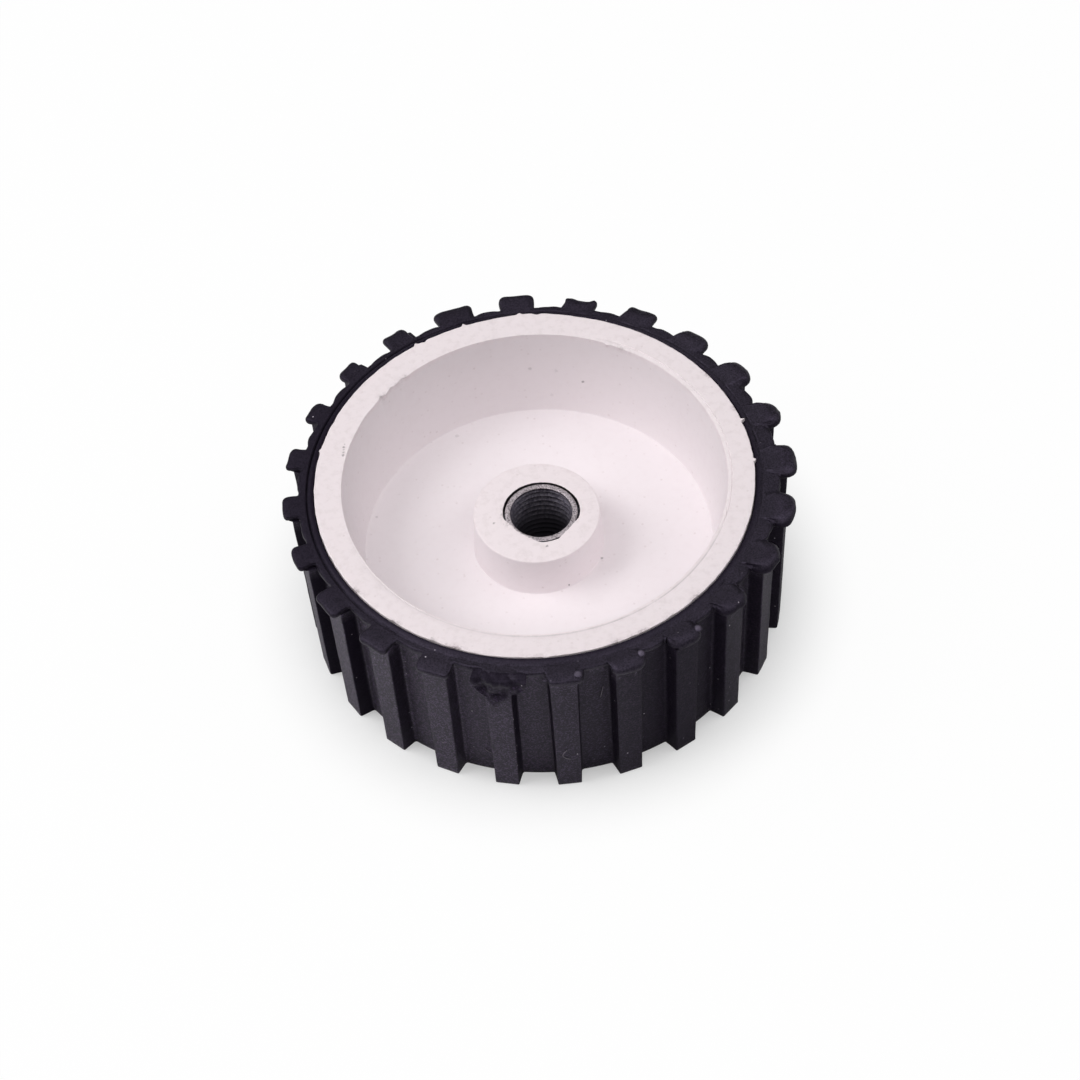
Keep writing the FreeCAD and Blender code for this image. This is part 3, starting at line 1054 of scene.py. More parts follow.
@dataclass(frozen=True)
class OddPad:
    """A pad unlike its neighbours: where it is, how it differs from them, and the bite in its end."""

    azimuth_deg: float
    shorter: float = 0.0
    wider: float = 0.0
    lift: float = 0.0
    squarer: float = 0.0
    bite: float = 0.0
    bite_middle: float = 0.0
    bite_half: float = 1.0


@dataclass(frozen=True)
class Pip:
    """A small polished knob on a pad, where it stands and how large it is."""

    x: float
    y: float
    radius: float
    height: float


@dataclass(frozen=True)
class Dent:
    """A rounded dent in the torn flap: its place, its half widths and its depth."""

    azimuth_deg: float
    at_height: float
    half_deg: float
    half_height: float
    depth: float

    def at(self, degrees: Array, height: Array) -> Array:
        """Return the dent's depth at azimuths and heights."""
        along, up = (degrees - self.azimuth_deg) / self.half_deg, (height - self.at_height) / self.half_height
        return self.depth * np.exp(-along ** 2 - up ** 2)


@dataclass
class Tyre:
    """The black rubber moulding: band, lugs, and the flash that overhangs each lug."""

    finish: Finish
    lug_count: int = 24
    side_height: float = 25.8
    seat_back_radius: float = 29.82
    seat_slope: float = 1.2 / 26.4
    seat_shift: float = -0.65
    groove_back: float = 31.6
    groove_face: float = 32.8
    lug_back: float = 33.8
    lug_face: float = 35.0
    tip_half_back: float = 1.66
    tip_half_face: float = 1.9
    flank_slope: float = 0.09
    root_round: float = 0.35
    tip_round: float = 0.2
    flash: Swing = Swing(33.54, ((-0.188, -0.025), (0.36, -0.077), (0.057, 0.078), (0.112, -0.029)))
    reach: Swing = Swing(35.79, ((-0.118, -0.104), (0.517, -0.021), (0.169, -0.141)))
    half_width: Swing = Swing(2.5, ((0.34, -0.3),))
    slip: Swing = Swing(-0.06, ((-0.1, -0.11), (-0.25, -0.44), (0.19, 0.01)))
    notch: Swing = Swing(0.3, ((0.1, 0.12),))
    neck_share: float = 0.88
    notch_round: float = 0.35
    arc_steps: int = 6
    square_corner: float = 0.75
    round_corner: float = 2.1
    pad_thickness: float = 0.85
    crease_radius: float = 32.1
    ring_width: float = 0.34
    bulge: float = 0.5
    raggedness: float = 0.06
    top_height: float = 26.36
    limits: tuple[float, float] = (36.48, 35.28)
    limit_softness: float = 0.2
    join_within: float = 0.004
    pad_seed: int = 7
    longer_by: float = 0.12
    wider_by: float = 0.1
    softer_by: tuple[float, float] = (-0.2, 0.25)
    round_from_deg: float = 12.0
    creased_at_deg: float = 150.0
    odd_pads: tuple[OddPad, ...] = (
        OddPad(75.0, 0.5, 0.1, 0.2, 0.55, 0.42, -0.4, 1.45), OddPad(-105.0, 0.9), OddPad(105.0, wider=0.9),
        OddPad(90.0, wider=0.5, lift=0.45), OddPad(60.0, lift=0.15, squarer=0.6), OddPad(0.0, wider=0.65),
        OddPad(45.0, squarer=0.45), OddPad(30.0, squarer=0.2), OddPad(-15.0, wider=0.5),
        OddPad(-30.0, wider=0.3), OddPad(120.0, wider=0.15))
    pips: tuple[Pip, ...] = (
        Pip(2.07, -34.15, 0.65, 0.26), Pip(10.9, -31.75, 0.65, 0.28), Pip(19.1, -28.5, 0.65, 0.26),
        Pip(25.7, -22.7, 0.5, 0.12), Pip(-2.4, -34.5, 0.35, 0.08))
    flap_edge: tuple[tuple[float, float], ...] = (
        (-110.9, 25.3), (-110.3, 24.2), (-109.0, 23.0), (-107.5, 22.3), (-106.6, 20.9), (-105.9, 20.1),
        (-105.0, 20.3), (-104.4, 21.0), (-103.4, 21.8), (-101.7, 23.3), (-100.2, 23.7), (-98.9, 24.3),
        (-98.3, 25.2))
    flap_dents: tuple[Dent, ...] = (
        Dent(-108.6, 23.9, 1.1, 1.2, 0.5), Dent(-105.4, 22.6, 1.2, 0.4, 0.5),
        Dent(-102.9, 22.9, 0.8, 0.5, 0.35), Dent(-109.3, 25.6, 0.9, 0.35, 0.4))
    flap_radius: float = 33.6
    flap_fold: float = 1.75
    flap_painted_shade: float = 0.6
    # Shares of painted shade by azimuth, with wear at the back of the tread, and painted light on the right
    # pads
    flank_painted_shade: tuple[Sector, ...] = (Sector(0.65, -200, -128, 16), Sector(0.55, -112, 40, 12))
    tread_wear_and_painted_shade: tuple[Sector, ...] = (Sector(0.9, -32, 40, 20), Sector(0.65, 40, 185, 30))
    top_painted_shade: tuple[Sector, ...] = (Sector(0.55, 130, 215, 40), Sector(0.3, 60, 120, 30))
    right_pad_painted_light: Sector = Sector(0.25, -30, 45, 20)
    edge_painted_shade: Sector = Sector(1.0, -60, 65, 30)

    @property
    def half_pitch(self) -> float:
        """Half the angle from lug to lug, in radians."""
        return math.pi / self.lug_count

    def outline(self, low: float, edge: float, foot: float, fillet: float, reach: float, half: float,
                cut: float) -> Array:
        """Draw one repeat of an outline: an arc, a fillet, a flank and a rounded end, and the same mirrored.

        Args:
            low: radius of the arc at the foot of the flank.
            edge: radius of the arc midway between two lugs.
            foot: half width at the foot of the flank.
            fillet: rounding of the foot.
            reach: radius of the end.
            half: half width of the end.
            cut: rounding of the end's corners.

        Returns:
            One row of x and y for each point, from side to side.
        """
        share = np.linspace(0, 1, self.arc_steps)
        arc = self.half_pitch + (math.asin((foot + fillet) / low) - self.half_pitch) * share
        floor = (edge - (edge - low) * share ** 3)[:, None] * np.stack([np.cos(arc), np.sin(arc)], axis=1)
        flank = [(r, foot + (half - foot) * (r - low) / (reach - low)) for r in (low + fillet, reach - cut)]
        rise = bend(floor[-1], (math.sqrt(low ** 2 - foot ** 2), foot), flank[0], np.array([1 / 3, 2 / 3, 1.0]))
        corner = bend(flank[1], (reach, half), (reach, half - cut), np.linspace(0, 1, 7))
        middle = np.linspace(rise[-1], corner[0], 4)[1:-1]
        end = np.linspace(corner[-1], (reach, 0.0), 5)[1:]
        line = np.concatenate([floor, rise, middle, corner, end])
        return np.concatenate([line, (line * (1, -1))[-2::-1]])

    def lug_line(self, height: float) -> Array:
        """Draw one repeat of the tread's outline.

        Args:
            height: height above the tyre's back.

        Returns:
            Points of the outline at that height.
        """
        groove, tip, half = (back + (face - back) * height / self.side_height for back, face in (
            (self.groove_back, self.groove_face), (self.lug_back, self.lug_face),
            (self.tip_half_back, self.tip_half_face)))
        root = half + self.flank_slope * (tip - groove)
        return self.outline(groove, groove, root, self.root_round, tip, half, self.tip_round)

    def flash_line(self, inset: float, corner: float) -> Array:
        """Draw one repeat of the flash's mean outline.

        Args:
            inset: how far the outline is set in from its full size.
            corner: rounding of its corners.

        Returns:
            Points of the outline.
        """
        edge, half = self.flash.mean - inset, self.half_width.mean - inset
        return self.outline(edge - self.notch.mean, edge, self.half_width.mean * self.neck_share - inset,
                            self.notch_round, self.reach.mean - inset, half, max(corner - inset, 0.15))

    def rings(self) -> tuple[Array, dict[Weight, Array]]:
        """Stack the outlines of one repeat, from the seat out, up the tread, over the pad and back to the seat.

        Returns:
            Points as rings by columns by three, and the weights of each point.
        """
        side, under = self.side_height, self.side_height - self.pad_thickness
        guide = self.lug_line(side)
        turn = np.arctan2(guide[:, 1], guide[:, 0])
        circle = np.stack([np.cos(turn), np.sin(turn)], axis=1)
        out = self.flash_line(0.0, self.square_corner)
        place = np.arange(len(out))
        on_floor = np.minimum(place, place[::-1]) < self.arc_steps
        notch = self.flash.mean - self.notch.mean
        lowered = np.where(on_floor, (self.flash.mean - np.hypot(*out.T)) / self.notch.mean, 1.0)
        grown = np.where(on_floor, 0.0, ramp(out[:, 0], notch, self.reach.mean))
        sideways = np.where(on_floor, 0.0, np.clip(out[:, 1] / self.half_width.mean, -1, 1))
        rounding = self.flash_line(0.0, self.round_corner) - out
        rows: list[Array] = []
        weights: dict[Weight, list[Array]] = {w: [] for w in Weight}

        def add(line: Array, height: float, pad: float = 0.0, **others: float) -> None:
            """Add one ring of points with its weights.

            Args:
                line: outline of the ring.
                height: height of the ring.
                pad: how far the ring follows the changes of its pad.
                others: its other weights by name.
            """
            rows.append(np.column_stack([line, np.full(len(line), height)]))
            own = {Weight.REACH: pad * grown, Weight.SPREAD: pad * sideways, Weight.FLASH: pad * (1 - grown),
                   Weight.NOTCH: pad * (1 - grown) * lowered, Weight.ROUND_OUT: pad * rounding[:, 0],
                   Weight.ROUND_ALONG: pad * rounding[:, 1], Weight.PILLOW: others.get("pillow", 0.0) * grown}
            for weight in Weight:
                weights[weight].append(own.get(weight, np.full(len(line), others.get(weight.value, 0.0))))

        def seat_ring(height: float) -> None:
            """Add a ring of the seat."""
            add(circle * (self.seat_back_radius + self.seat_slope * height), height, seat=1.0)

        seat_ring(0.0)
        add(circle * (self.seat_back_radius + 0.9), 0.0, seat=0.5)
        foot = self.lug_line(0.0)
        for inset, height in ((0.16, 0.0), (0.05, 0.05)):
            add(foot * (1 - inset / self.groove_back), height)
        for height in (0.2, 1.2, *np.arange(3.0, under - 0.8, 1.8), under):
            add(self.lug_line(height), height, ragged=0.25)
        for inset, height, pillow in (
                (0.2, under, -0.8), (0.06, under + 0.05, -0.8), (0.0, under + 0.2, -0.8),
                (0.0, side - 0.36, -0.8), (0.03, side - 0.2, -0.75), (0.11, side - 0.08, -0.6),
                (0.26, side - 0.01, -0.3)):
            add(self.flash_line(inset, self.square_corner), height, pad=1.0, ragged=1.0, pillow=pillow)
        start, end = self.flash_line(0.5, self.square_corner), circle * (self.crease_radius + self.ring_width)
        for share, pillow in ((0.0, 0.15), (0.2, 0.75), (0.4, 1.0), (0.65, 0.7), (1.0, 0.0)):
            add(start + (end - start) * share, side, pad=1 - share, ragged=0.8 * (1 - share), seat=share,
                pillow=pillow)
        for offset, drop, crease, bulge in (
                (0.22, 0.0, 0.0, 0.0), (0.1, 0.0, 0.35, 0.03), (0.0, 0.0, 1.0, 0.06), (-0.11, 0.0, 0.3, 0.12),
                (-0.25, 0.0, 0.0, 0.3), (-0.6, 0.03, 0.0, 0.85), (-0.95, 0.2, 0.0, 1.2)):
            add(circle * (self.crease_radius + offset), side - drop, seat=1.0, crease=crease, bulge=bulge)
        for height in np.linspace(side - 0.6, 3.0, 6):
            seat_ring(height)
        return np.array(rows), {w: np.array(v) for w, v in weights.items()}

    def repeat_tree(self) -> Tree:
        """Build the tree that sets the repeats around the axle and joins them.

        Returns:
            The tree.
        """
        tree, given = geometry_tree("lugs_around_tyre", {
            "Lugs": "Int", "Join within": "Float", "Material": "Material"})
        add = partial(add_node, tree)
        index = add("GeometryNodeInputIndex")
        step = add("ShaderNodeMath", {"Value": FULL_TURN, "Value_001": given["Lugs"]}, operation="DIVIDE")
        turn = add("ShaderNodeMath", {"Value": index, "Value_001": step}, operation="MULTIPLY")
        placed = add("GeometryNodeInstanceOnPoints", {
            "Points": add("GeometryNodePoints", {"Count": given["Lugs"]}), "Instance": given["Geometry"],
            "Rotation": add("ShaderNodeCombineXYZ", {"Z": turn})})
        return end_tree(tree, placed, {"Material": given["Material"]}, join_within=given["Join within"])

    def to_right(self, turn: Array) -> Array:
        """Return how far angles in radians face the side with the roundest pads, from -1 to 1."""
        return np.cos(turn + math.radians(self.round_from_deg))

    def roundness(self, turn: Array, lug: Array, ahead: Array, softer: Array) -> Array:
        """Say how round the corners of the pads are: rounder at the right, and each a little different.

        Args:
            turn: angle of each point, in radians.
            lug: number of each point's lug.
            ahead: side of the pad that each point is on, as -1, 0 or 1.
            softer: random change for each side of each lug.

        Returns:
            0 for a square corner to 1.2 for the roundest, for each point.
        """
        to_right, to_back = np.clip(self.to_right(turn), 0, 1), np.clip(np.sin(turn), 0, 1)
        total = (0.24 + 1.05 * to_right ** 0.7 + 0.15 * to_back - 0.18 * ahead * np.clip(-np.cos(turn), 0, 1)
                 - 0.3 * (ahead > 0) * np.clip(np.sin(2 * turn), 0, 1) * (to_back > 0)
                 + softer[(ahead > 0).astype(int), lug])
        for odd in self.odd_pads:
            total -= odd.squarer * (lug == round(odd.azimuth_deg / 360 * self.lug_count) % self.lug_count)
        return np.clip(total, 0, 1.2)

    def vary(self, points: Array, weight: dict[Weight, Array]) -> Array:
        """Make each pad its own, and let the flash, the crease and the edges change around the tyre.

        Args:
            points: points of the joined repeats.
            weight: weights of the points.

        Returns:
            The moved points.
        """
        reach, spread, flash, notch, round_out, round_along, pillow, crease, bulge, ragged, seat = (
            weight[w] for w in Weight)
        rng = np.random.default_rng(self.pad_seed)
        longer, wider = (rng.uniform(-by, by, self.lug_count) for by in (self.longer_by, self.wider_by))
        softer = rng.uniform(*self.softer_by, (2, self.lug_count))
        turn, radius = np.arctan2(points[:, 1], points[:, 0]), np.hypot(points[:, 0], points[:, 1])
        lug = np.round(turn / (2 * self.half_pitch)).astype(int) % self.lug_count
        roundness = self.roundness(turn, lug, np.sign(spread), softer)
        pad, to_right = reach + flash, self.to_right(turn)
        out = (reach * (self.reach.change(turn) + longer[lug]) + flash * self.flash.change(turn)
               - notch * self.notch.change(turn) + round_out * roundness)
        along = (spread * (self.half_width.change(turn) + wider[lug]) + round_along * roundness
                 + pad * (self.slip.mean + self.slip.change(turn)))
        # At the right the pads narrow towards round ends, and swell like cushions
        lobe = np.clip(to_right, 0, 1) ** 0.7
        along -= 0.25 * lobe * spread * reach ** 2
        out -= 0.1 * lobe * spread ** 2 * reach
        swell = 0.06 + 0.34 * ramp(to_right, 0.1, 0.7) + 0.1 * np.clip(np.sin(turn), 0, 1)
        # At the front the rubber stands up against the rim's edge, and at the back left it is creased
        groove = 0.05 + 0.38 * np.clip(np.cos(turn - math.radians(self.creased_at_deg)), 0, 1) ** 1.5
        groove = np.clip(groove + 0.1 * ripple(turn, 21, 9, 70, 0.3), 0.02, 0.44)
        lift = bulge * self.bulge * np.clip(0.35 - np.sin(turn), 0, 1) + pillow * swell - crease * groove
        lug_top = ramp(points[:, 2], 22.0, 24.5) * (radius > 34.2)
        for odd in self.odd_pads:
            away = np.radians(away_from(odd.azimuth_deg, np.degrees(turn)))
            here = np.abs(away) < self.half_pitch * 0.98
            across = (away * self.reach.mean - odd.bite_middle) / odd.bite_half
            bitten = odd.bite * np.clip(1 - across ** 4, 0, 1)
            out -= here * np.maximum(reach, 0.9 * lug_top) * (odd.shorter + bitten)
            along += here * spread * odd.wider
            lift += here * reach * odd.lift
        # No pad draws back behind the ring or the groove
        ring = self.crease_radius + self.ring_width + self.seat_shift * np.cos(turn)
        lowest = np.maximum(ring + 0.3 * pad, np.where(pad > 0.99, self.groove_face, 0.0))
        out = np.where(pad > 0, np.maximum(out, lowest - radius), out)
        outwards, sideways = (polar(1.0, turn + ahead, 0.0) for ahead in (0.0, math.pi / 2))
        moved = points + out[:, None] * outwards + along[:, None] * sideways
        moved[:, 2] += lift
        moved += (self.raggedness * ragged)[:, None] * lumps(moved, 2.0, 22)
        moved[:, 0] += self.seat_shift * seat
        # Near the limits the reach is squeezed, so that no pad ends in a cut
        soft = self.limit_softness
        over = np.maximum(np.abs(moved[:, :2]) - np.array(self.limits) + soft, 0)
        moved[:, :2] -= np.sign(moved[:, :2]) * (over - soft * np.tanh(over / soft))
        moved[:, 2] = np.clip(moved[:, 2], 0.0, self.top_height)
        return moved

    def flap(self) -> tuple[Array, Array]:
        """Shape the torn flap that hangs over the front of one lug.

        Returns:
            Points and faces of a closed shell.
        """
        edge = np.array(self.flap_edge)
        share, down = np.linspace(0, 1, 44), np.linspace(0, 1, 22)[:, None]
        azimuth = edge[0, 0] + (edge[-1, 0] - edge[0, 0]) * share
        turn = np.radians(azimuth)
        # The flap starts on the tyre's side, folds over its edge and hangs down the lug
        radius = self.flap_radius + self.flap_fold * np.sin(ramp(down, 0, 0.32) * math.pi / 2)
        hang = ramp(down, 0.2, 1.0)
        height = self.side_height + 0.05 - hang * (self.side_height - np.interp(azimuth, *edge.T))
        front = polar(radius, turn, height)
        flat = front.reshape(-1, 3)
        crumple = (lumps(flat, 2.6, 23) + 0.35 * lumps(flat, 1.0, 24)).reshape(front.shape)
        # It thins out towards its ends and its low edge
        body = np.clip(12 * np.minimum(share, share[::-1]), 0, 1) * np.clip((1 - down) * 8, 0.12, 1)
        push = 0.3 * crumple[..., 0] - sum(dent.at(azimuth, height) for dent in self.flap_dents)
        outwards = polar(1.0, turn, 0.5 * (1 - hang))
        front = front + outwards * (body * push)[..., None]
        back = front - outwards * (0.55 * body)[..., None]
        points = np.concatenate([front, back[::-1]])
        points[..., 2] = np.minimum(points[..., 2], self.side_height + 0.3)
        return points.reshape(-1, 3), loop_faces(len(points), len(azimuth), False)

    def knob(self, pip: Pip) -> tuple[Array, Array]:
        """Shape one polished knob.

        Args:
            pip: place and size of the knob.

        Returns:
            Points and faces of a closed shell.
        """
        rise, turn = np.linspace(-math.pi / 2, math.pi / 2, 12)[:, None], full_circle(20)
        ball = polar(pip.radius * np.cos(rise), turn, self.side_height + 0.02 + pip.height * np.sin(rise))
        ball += (pip.x, pip.y, 0.0)
        return ball.reshape(-1, 3), loop_faces(len(rise), len(turn), True)[:-len(turn)]

    def wear_and_painted_shade(self, mesh: Mesh, moulded: int, flap: int) -> Array:
        """Say where shade is painted by thinning the bloom and its sheen: most flanks, the right of the tread,
        the left tops, the rim's edge, and where the back of the tread is worn.

        Args:
            mesh: mesh of the whole tyre.
            moulded: number of points of the moulding, which come first.
            flap: number of points of the flap, which come next.

        Returns:
            A share up to 1 for each point, below 0 where light is painted on the pads at the right.
        """
        points, normals = points_of(mesh), np.zeros(len(mesh.vertices) * 3)
        mesh.vertex_normals.foreach_get("vector", normals)
        normals = normals.reshape(-1, 3)
        turn, radius = np.arctan2(points[:, 1], points[:, 0]), np.hypot(points[:, 0], points[:, 1])
        degrees = np.degrees(turn)
        across = np.abs(normals[:, 1] * np.cos(turn) - normals[:, 0] * np.sin(turn))
        flank = (0.45 + sum_at(degrees, self.flank_painted_shade)) * ramp(across, 0.5, 0.9)
        # Painted shade: the front right of the tread mirrors the paper where the wheel's shadow lies
        front_right = 0.95 * np.exp(-((degrees + 60) / 33) ** 2)
        tread = np.maximum.reduce([flank, front_right, *(sector.at(degrees) for sector in self.tread_wear_and_painted_shade)])
        tops = sum_at(degrees, self.top_painted_shade) - self.right_pad_painted_light.at(degrees) * ramp(radius, 33.4, 34.0)
        # Painted shade darkens the pads down their edges at the right, and the ring beside the rim
        steep = ramp(np.abs(normals[:, 2]), 0.8, 0.4) * self.edge_painted_shade.at(degrees)
        tops += (0.9 - tops) * steep
        tops += (1 - tops) * ramp(np.hypot(points[:, 0] - self.seat_shift, points[:, 1]), 31.65, 31.35)
        share = np.where(points[:, 2] < self.side_height - self.pad_thickness + 0.01, tread, tops)
        # The flap's sheen is weakened as painted shade
        share[moulded:moulded + flap] = self.flap_painted_shade
        share[moulded + flap:] = 0.0
        return share

    def build(self) -> Piece:
        """Set one repeat around the axle, make it uneven, and add the flap and the knobs.

        Returns:
            The finished piece.
        """
        material = self.finish.material()
        tile, weights = self.rings()
        repeat = new_piece("lug_repeat", tile, loop_faces(*tile.shape[:2], False), material)
        for weight, values in weights.items():
            set_weight(repeat.data, weight.value, values)
        keep_result(repeat, self.repeat_tree(), {
            "Lugs": self.lug_count, "Join within": self.join_within * MM, "Material": material})
        points = self.vary(points_of(repeat.data), {w: weight_of(repeat.data, w.value) for w in Weight})
        moulding = points, [tuple(face.vertices) for face in repeat.data.polygons]
        shells = [moulding, self.flap(), *map(self.knob, self.pips)]
        bpy.data.objects.remove(repeat)
        first = np.cumsum([0] + [len(own) for own, _ in shells])
        faces = [[corner + base for corner in face] for base, (_, own) in zip(first, shells) for face in own]
        points = np.concatenate([own for own, _ in shells])
        piece = new_piece("tyre_moulding", points, faces, material)
        # The knobs are painted lighter towards their tops, a painted highlight, and are smoother there
        polish_and_highlight = ramp(points[:, 2], self.side_height, self.side_height + 0.3) ** 3
        polish_and_highlight[:first[2]] = 0.0
        set_weight(piece.data, "polish_and_highlight", polish_and_highlight)
        set_weight(piece.data, "wear_and_painted_shade", self.wear_and_painted_shade(piece.data, first[1], first[2] - first[1]))
        tidy_shells(piece.data)
        smooth(piece, 42)
        return piece


@dataclass
class Fibres:
    """The stray fibres on the tread, each a fine tube along its own way of azimuths, heights and radii."""

    finish: Finish
    radius: float = 0.045
    sides: int = 6
    steps: int = 7
    ways: tuple[tuple[tuple[float, float, float], ...], ...] = (
        ((-90.3, 8.75, 34.28), (-91.3, 7.5, 34.3), (-89.6, 6.4, 34.16)),
        ((-80.3, 19.8, 32.6), (-80.8, 18.4, 32.66), (-81.1, 17.3, 32.46)),
        ((-110.9, 4.9, 31.92), (-109.8, 4.5, 32.0), (-108.8, 4.3, 31.9)))

    def fibre_tree(self) -> Tree:
        """Build the tree that makes a tube along each edge path.

        Returns:
            The tree.
        """
        tree, given = geometry_tree("fibre_along_path", {
            "Radius": "Float", "Sides": "Int", "Material": "Material"})
        add = partial(add_node, tree)
        tube = add("GeometryNodeCurveToMesh", {
            "Curve": add("GeometryNodeMeshToCurve", {"Mesh": given["Geometry"]}),
            "Profile Curve": add("GeometryNodeCurvePrimitiveCircle", {
                "Resolution": given["Sides"], "Radius": given["Radius"]}, mode="RADIUS"),
            "Fill Caps": True})
        return end_tree(tree, tube, {"Material": given["Material"]})

    def build(self) -> Piece:
        """Lay the ways on the tread and make the tubes.

        Returns:
            The finished piece.
        """
        rows: list[Array] = []
        for way in self.ways:
            azimuth, height, out = np.array(way).T
            spots = polar(out, np.radians(azimuth), height)
            middle = 2 * spots[1] - (spots[0] + spots[2]) / 2
            rows.append(bend(spots[0], middle, spots[2], np.linspace(0, 1, self.steps)))
        edges = [(i - 1, i) for i in range(len(rows) * self.steps) if i % self.steps]
        material = self.finish.material()
        piece = new_piece("lint_fibres", np.concatenate(rows), np.zeros((0, 4)), material, edges)
        keep_result(piece, self.fibre_tree(), {
            "Radius": self.radius * MM, "Sides": self.sides, "Material": material})
        tidy_shells(piece.data)
        smooth(piece, 50)
        return piece


@dataclass
class ThreadedInsert:
    """The steel bush in the hub, with a fine thread in its bore."""

    finish: Finish
    bore_finish: Finish
    outer_radius: float = 5.5
    neck_radius: float = 5.17
    neck_depth: float = 1.1
    length: float = 19.12
    lip_radius: float = 4.409
    crest_radius: float = 4.459
    root_radius: float = 5.0
    root_overlap: float = 0.05
    pitch: float = 1.0
    thread_margin: float = 0.5
    bright_depth: float = 0.12
    steps: int = 72
    columns: int = 96

    def body(self) -> Piece:
        """Turn the bush with a plain bore at the roots of the thread.

        Returns:
            The bush without its thread.
        """
        lip, top = self.lip_radius, self.length
        section = trace_section([
            Corner(self.root_radius, 0.9), Corner(lip, 0.3), Corner(lip, 0.1), Corner(lip + 0.1, 0.0),
            Corner(self.outer_radius, 0.0, 0.25), Corner(self.outer_radius, top - self.neck_depth, 0.05),
            Corner(self.neck_radius, top - self.neck_depth, 0.1), Corner(self.neck_radius, top, 0.07),
            Corner(lip + 0.05, top, 0.03), Corner(lip, top - 0.1), Corner(lip, top - 0.3),
            Corner(self.root_radius, top - 0.9)], steps=4, run=2.0)
        points = polar(section[:, :1], full_circle(self.columns), section[:, 1:])
        faces = loop_faces(len(section), self.columns, True)
        piece = new_piece("threaded_bush", points, faces, self.finish.material())
        tidy_shells(piece.data)
        return piece

    def thread_tree(self) -> Tree:
        """Build the tree that winds a ridge of thread through the bore and joins it to the bush.

        Returns:
            The tree.
        """
        lengths = ("Turns", "Root radius", "Depth", "Pitch", "Start height", "Half length", "Dark half length")
        tree, given = geometry_tree("thread_in_bore", {
            **dict.fromkeys(lengths, "Float"), "Steps in a turn": "Int", "Material": "Material",
            "Bore material": "Material"})
        add = partial(add_node, tree)
        pitch, root, depth = given["Pitch"], given["Root radius"], given["Depth"]
        rise = add("ShaderNodeMath", {"Value": given["Turns"], "Value_001": pitch}, operation="MULTIPLY")
        helix = add("GeometryNodeCurveSpiral", {
            "Resolution": given["Steps in a turn"], "Rotations": given["Turns"], "Start Radius": root,
            "End Radius": root, "Height": rise})
        raised = add("GeometryNodeTransform", {
            "Geometry": helix, "Translation": add("ShaderNodeCombineXYZ", {"Z": given["Start height"]})})
        # The ridge runs out to nothing over the first and the last of its turns
        way = add("GeometryNodeSplineParameter", out="Factor")
        start, end = (add("ShaderNodeMapRange", {
            "Value": way, "From Min": low, "From Max": high, "To Min": first, "To Max": last},
            interpolation_type="SMOOTHSTEP")
            for low, high, first, last in ((0.0, 0.03, 0.02, 1.0), (0.97, 1.0, 1.0, 0.02)))
        share = add("ShaderNodeMath", {"Value": start, "Value_001": end}, operation="MULTIPLY")
        upright = add("GeometryNodeSetCurveNormal", {"Curve": raised}, mode="Z_UP")
        tapered = add("GeometryNodeSetCurveRadius", {"Curve": upright, "Radius": share})
        corners = {}
        for i, (inward, up) in enumerate(((0.0, -0.44), (depth, -0.07), (depth, 0.07), (0.0, 0.44)), start=1):
            rise = add("ShaderNodeMath", {"Value": pitch, "Value_001": up}, operation="MULTIPLY")
            corners[f"Point {i}"] = add("ShaderNodeCombineXYZ", {"X": inward, "Y": rise})
        profile = add("GeometryNodeCurvePrimitiveQuadrilateral", corners, mode="POINTS")
        ridge = add("GeometryNodeCurveToMesh", {"Curve": tapered, "Profile Curve": profile, "Fill Caps": True})
        both = add("GeometryNodeJoinGeometry", {"Geometry": ridge})
        feed(tree, both.node, {"Geometry": given["Geometry"]})
        level = add("ShaderNodeSeparateXYZ", {"Vector": add("GeometryNodeInputPosition")}, "Z")
        within = add("ShaderNodeMath", {
            "Value": level, "Value_001": given["Half length"], "Value_002": given["Dark half length"]},
            operation="COMPARE")
        return end_tree(tree, both, {"Material": given["Material"]},
                        {"Selection": within, "Material": given["Bore material"]})

    def build(self) -> Piece:
        """Turn the bush and wind its thread.

        Returns:
            The finished piece.
        """
        piece = self.body()
        root, half = self.root_radius + self.root_overlap, self.length / 2
        keep_result(piece, self.thread_tree(), {
            "Turns": (self.length - 2 * self.thread_margin) / self.pitch, "Steps in a turn": self.steps,
            "Root radius": root * MM, "Depth": (root - self.crest_radius) * MM, "Pitch": self.pitch * MM,
            "Start height": self.thread_margin * MM, "Half length": half * MM,
            "Dark half length": (half - self.bright_depth) * MM, "Material": self.finish.material(),
            "Bore material": self.bore_finish.material()})
        smooth(piece, 35)
        return piece


@dataclass(frozen=True)
class Softbox:
    """A square soft lamp that faces the wheel: its direction, its distance, its side and its power."""

    name: str
    azimuth_deg: float
    height_deg: float
    distance: float
    side: float
    watts: float


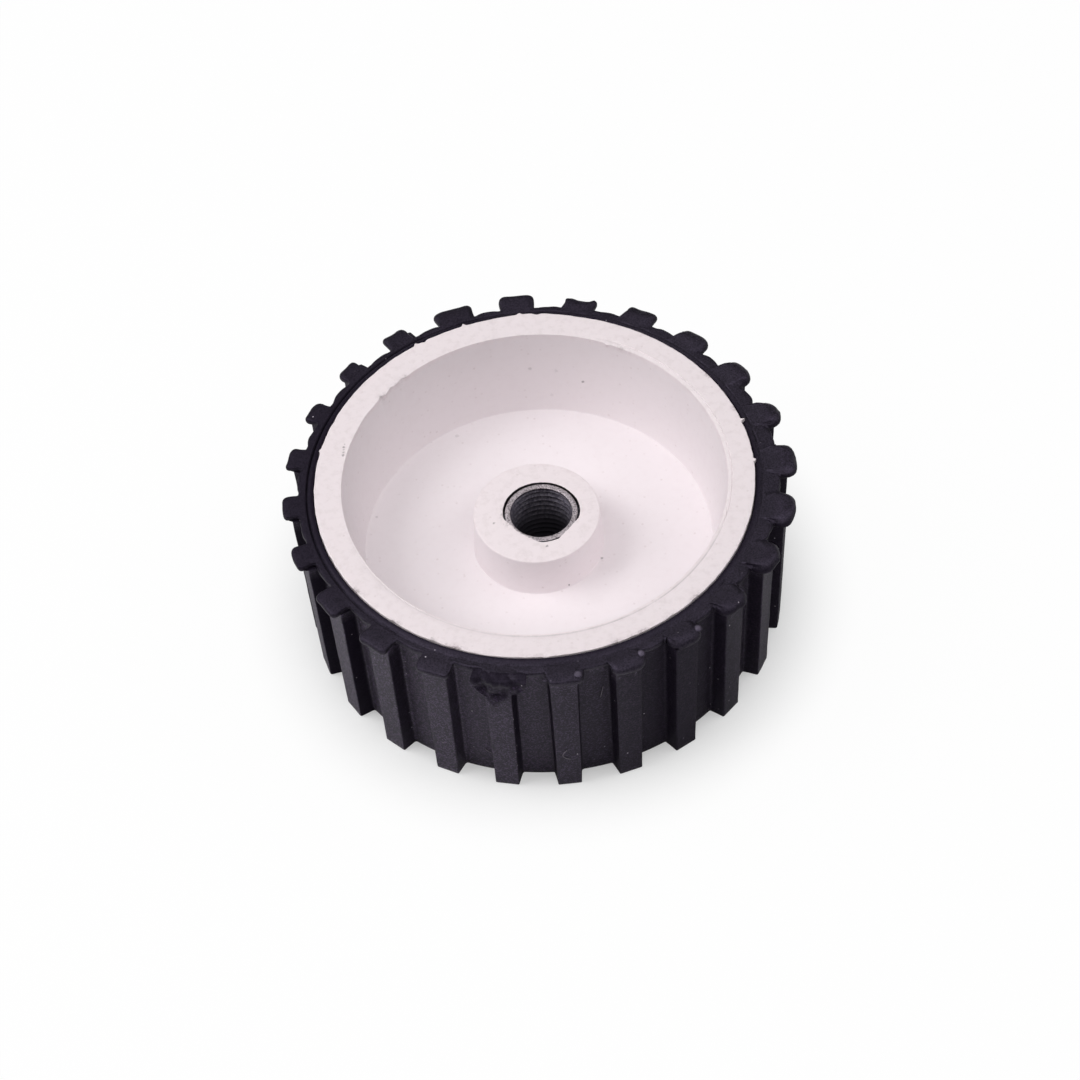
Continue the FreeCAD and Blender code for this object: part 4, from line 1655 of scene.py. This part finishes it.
@dataclass
class Studio:
    """The paper floor, the soft lamps and the camera."""

    floor_finish: Finish
    image_px: int = 1080
    focal_px: float = 4417.6
    sensor_mm: float = 36.0
    distance: float = 620.0
    elevation_deg: float = 50.67
    roll_deg: float = -4.3375
    pan_x: float = -0.00132
    pan_y: float = 0.0135
    heading_deg: float = -2.03
    target: tuple[float, float, float] = (-0.65, 0.0, 26.4)
    floor_half: float = 1500.0
    floor_drop: float = 0.05
    lit_height: float = 13.0
    sky: str = "#FFFFFF"
    sky_strength: float = 0.02
    lamps: tuple[Softbox, ...] = (
        Softbox("key_softbox", 177.0, 47.0, 700.0, 480.0, 3.0),
        Softbox("back_softbox", 105.0, 50.0, 700.0, 420.0, 0.48),
        Softbox("right_softbox", 0.0, 45.0, 700.0, 420.0, 1.13),
        Softbox("front_softbox", 280.0, 62.0, 700.0, 600.0, 1.68),
        Softbox("top_softbox", 60.0, 85.0, 800.0, 500.0, 0.46))

    def camera(self) -> None:
        """Set up the camera at the photograph's angle."""
        rise = math.radians(self.elevation_deg)
        stand = Vector((0.0, -math.cos(rise), math.sin(rise))) * self.distance
        look, right = -stand.normalized(), Vector((1.0, 0.0, 0.0))
        axes = Matrix((right, look.cross(right), look))
        for angle, axis in ((math.radians(self.roll_deg), "Z"), (self.pan_x, "Y"), (self.pan_y, "X")):
            axes = Matrix.Rotation(angle, 3, axis) @ axes
        heading = Matrix.Rotation(math.radians(self.heading_deg), 3, "Z")
        axes = axes @ heading.transposed()
        pose = Matrix((axes[0], -axes[1], -axes[2])).transposed().to_4x4()
        pose.translation = (heading @ stand + Vector(self.target)) * MM
        data = bpy.data.cameras.new("camera")
        data.sensor_fit = "HORIZONTAL"
        data.sensor_width = self.sensor_mm
        data.lens = self.sensor_mm * self.focal_px / self.image_px
        data.clip_start, data.clip_end = 0.01, 20.0
        camera = bpy.data.objects.new("camera", data)
        camera.matrix_world = pose
        bpy.context.scene.collection.objects.link(camera)
        bpy.context.scene.camera = camera

    def hang(self, box: Softbox) -> None:
        """Hang a soft lamp so that it faces the middle of the wheel.

        Args:
            box: place, size and strength of the lamp.
        """
        around, rise = math.radians(box.azimuth_deg), math.radians(box.height_deg)
        towards = Vector((math.cos(around) * math.cos(rise), math.sin(around) * math.cos(rise), math.sin(rise)))
        data = bpy.data.lights.new(box.name, "AREA")
        data.shape, data.size, data.energy = "SQUARE", box.side * MM, box.watts
        lamp = bpy.data.objects.new(box.name, data)
        lamp.location = (Vector((0.0, 0.0, self.lit_height)) + towards * box.distance) * MM
        lamp.rotation_mode = "QUATERNION"
        lamp.rotation_quaternion = towards.to_track_quat("Z", "Y")
        bpy.context.scene.collection.objects.link(lamp)

    def build(self) -> None:
        """Set up the floor, the sky, the lamps and the camera."""
        half, low = self.floor_half, -self.floor_drop
        corners = np.array([(-half, -half, low), (half, -half, low), (half, half, low), (-half, half, low)])
        floor = new_piece("paper_floor", corners, np.array([(0, 1, 2, 3)]), self.floor_finish.material())
        world = bpy.data.worlds.new("studio")
        bpy.context.scene.world = world
        world.use_nodes = True
        feed(world.node_tree, world.node_tree.nodes["Background"], {
            "Color": linear(self.sky), "Strength": self.sky_strength})
        for box in self.lamps:
            self.hang(box)
        self.camera()
        bpy.context.scene.view_settings.view_transform = "Standard"


def main() -> None:
    """Build the wheel's pieces in order, then the studio, and note the sizes."""
    logging.basicConfig(level=logging.INFO, format="%(name)s: %(message)s")
    deliver(Rim(MouldedAbs()).build(), Slot.PLASTIC, "rim")
    deliver(Tyre(MouldedRubber()).build(), Slot.RUBBER, "tyre")
    deliver(ThreadedInsert(TurnedSteel(), OiledSteel()).build(), Slot.STEEL, "threaded_insert")
    deliver(Fibres(Lint()).build(), Slot.RUBBER)
    Studio(PaperSweep()).build()


if __name__ == "__main__":
    main()
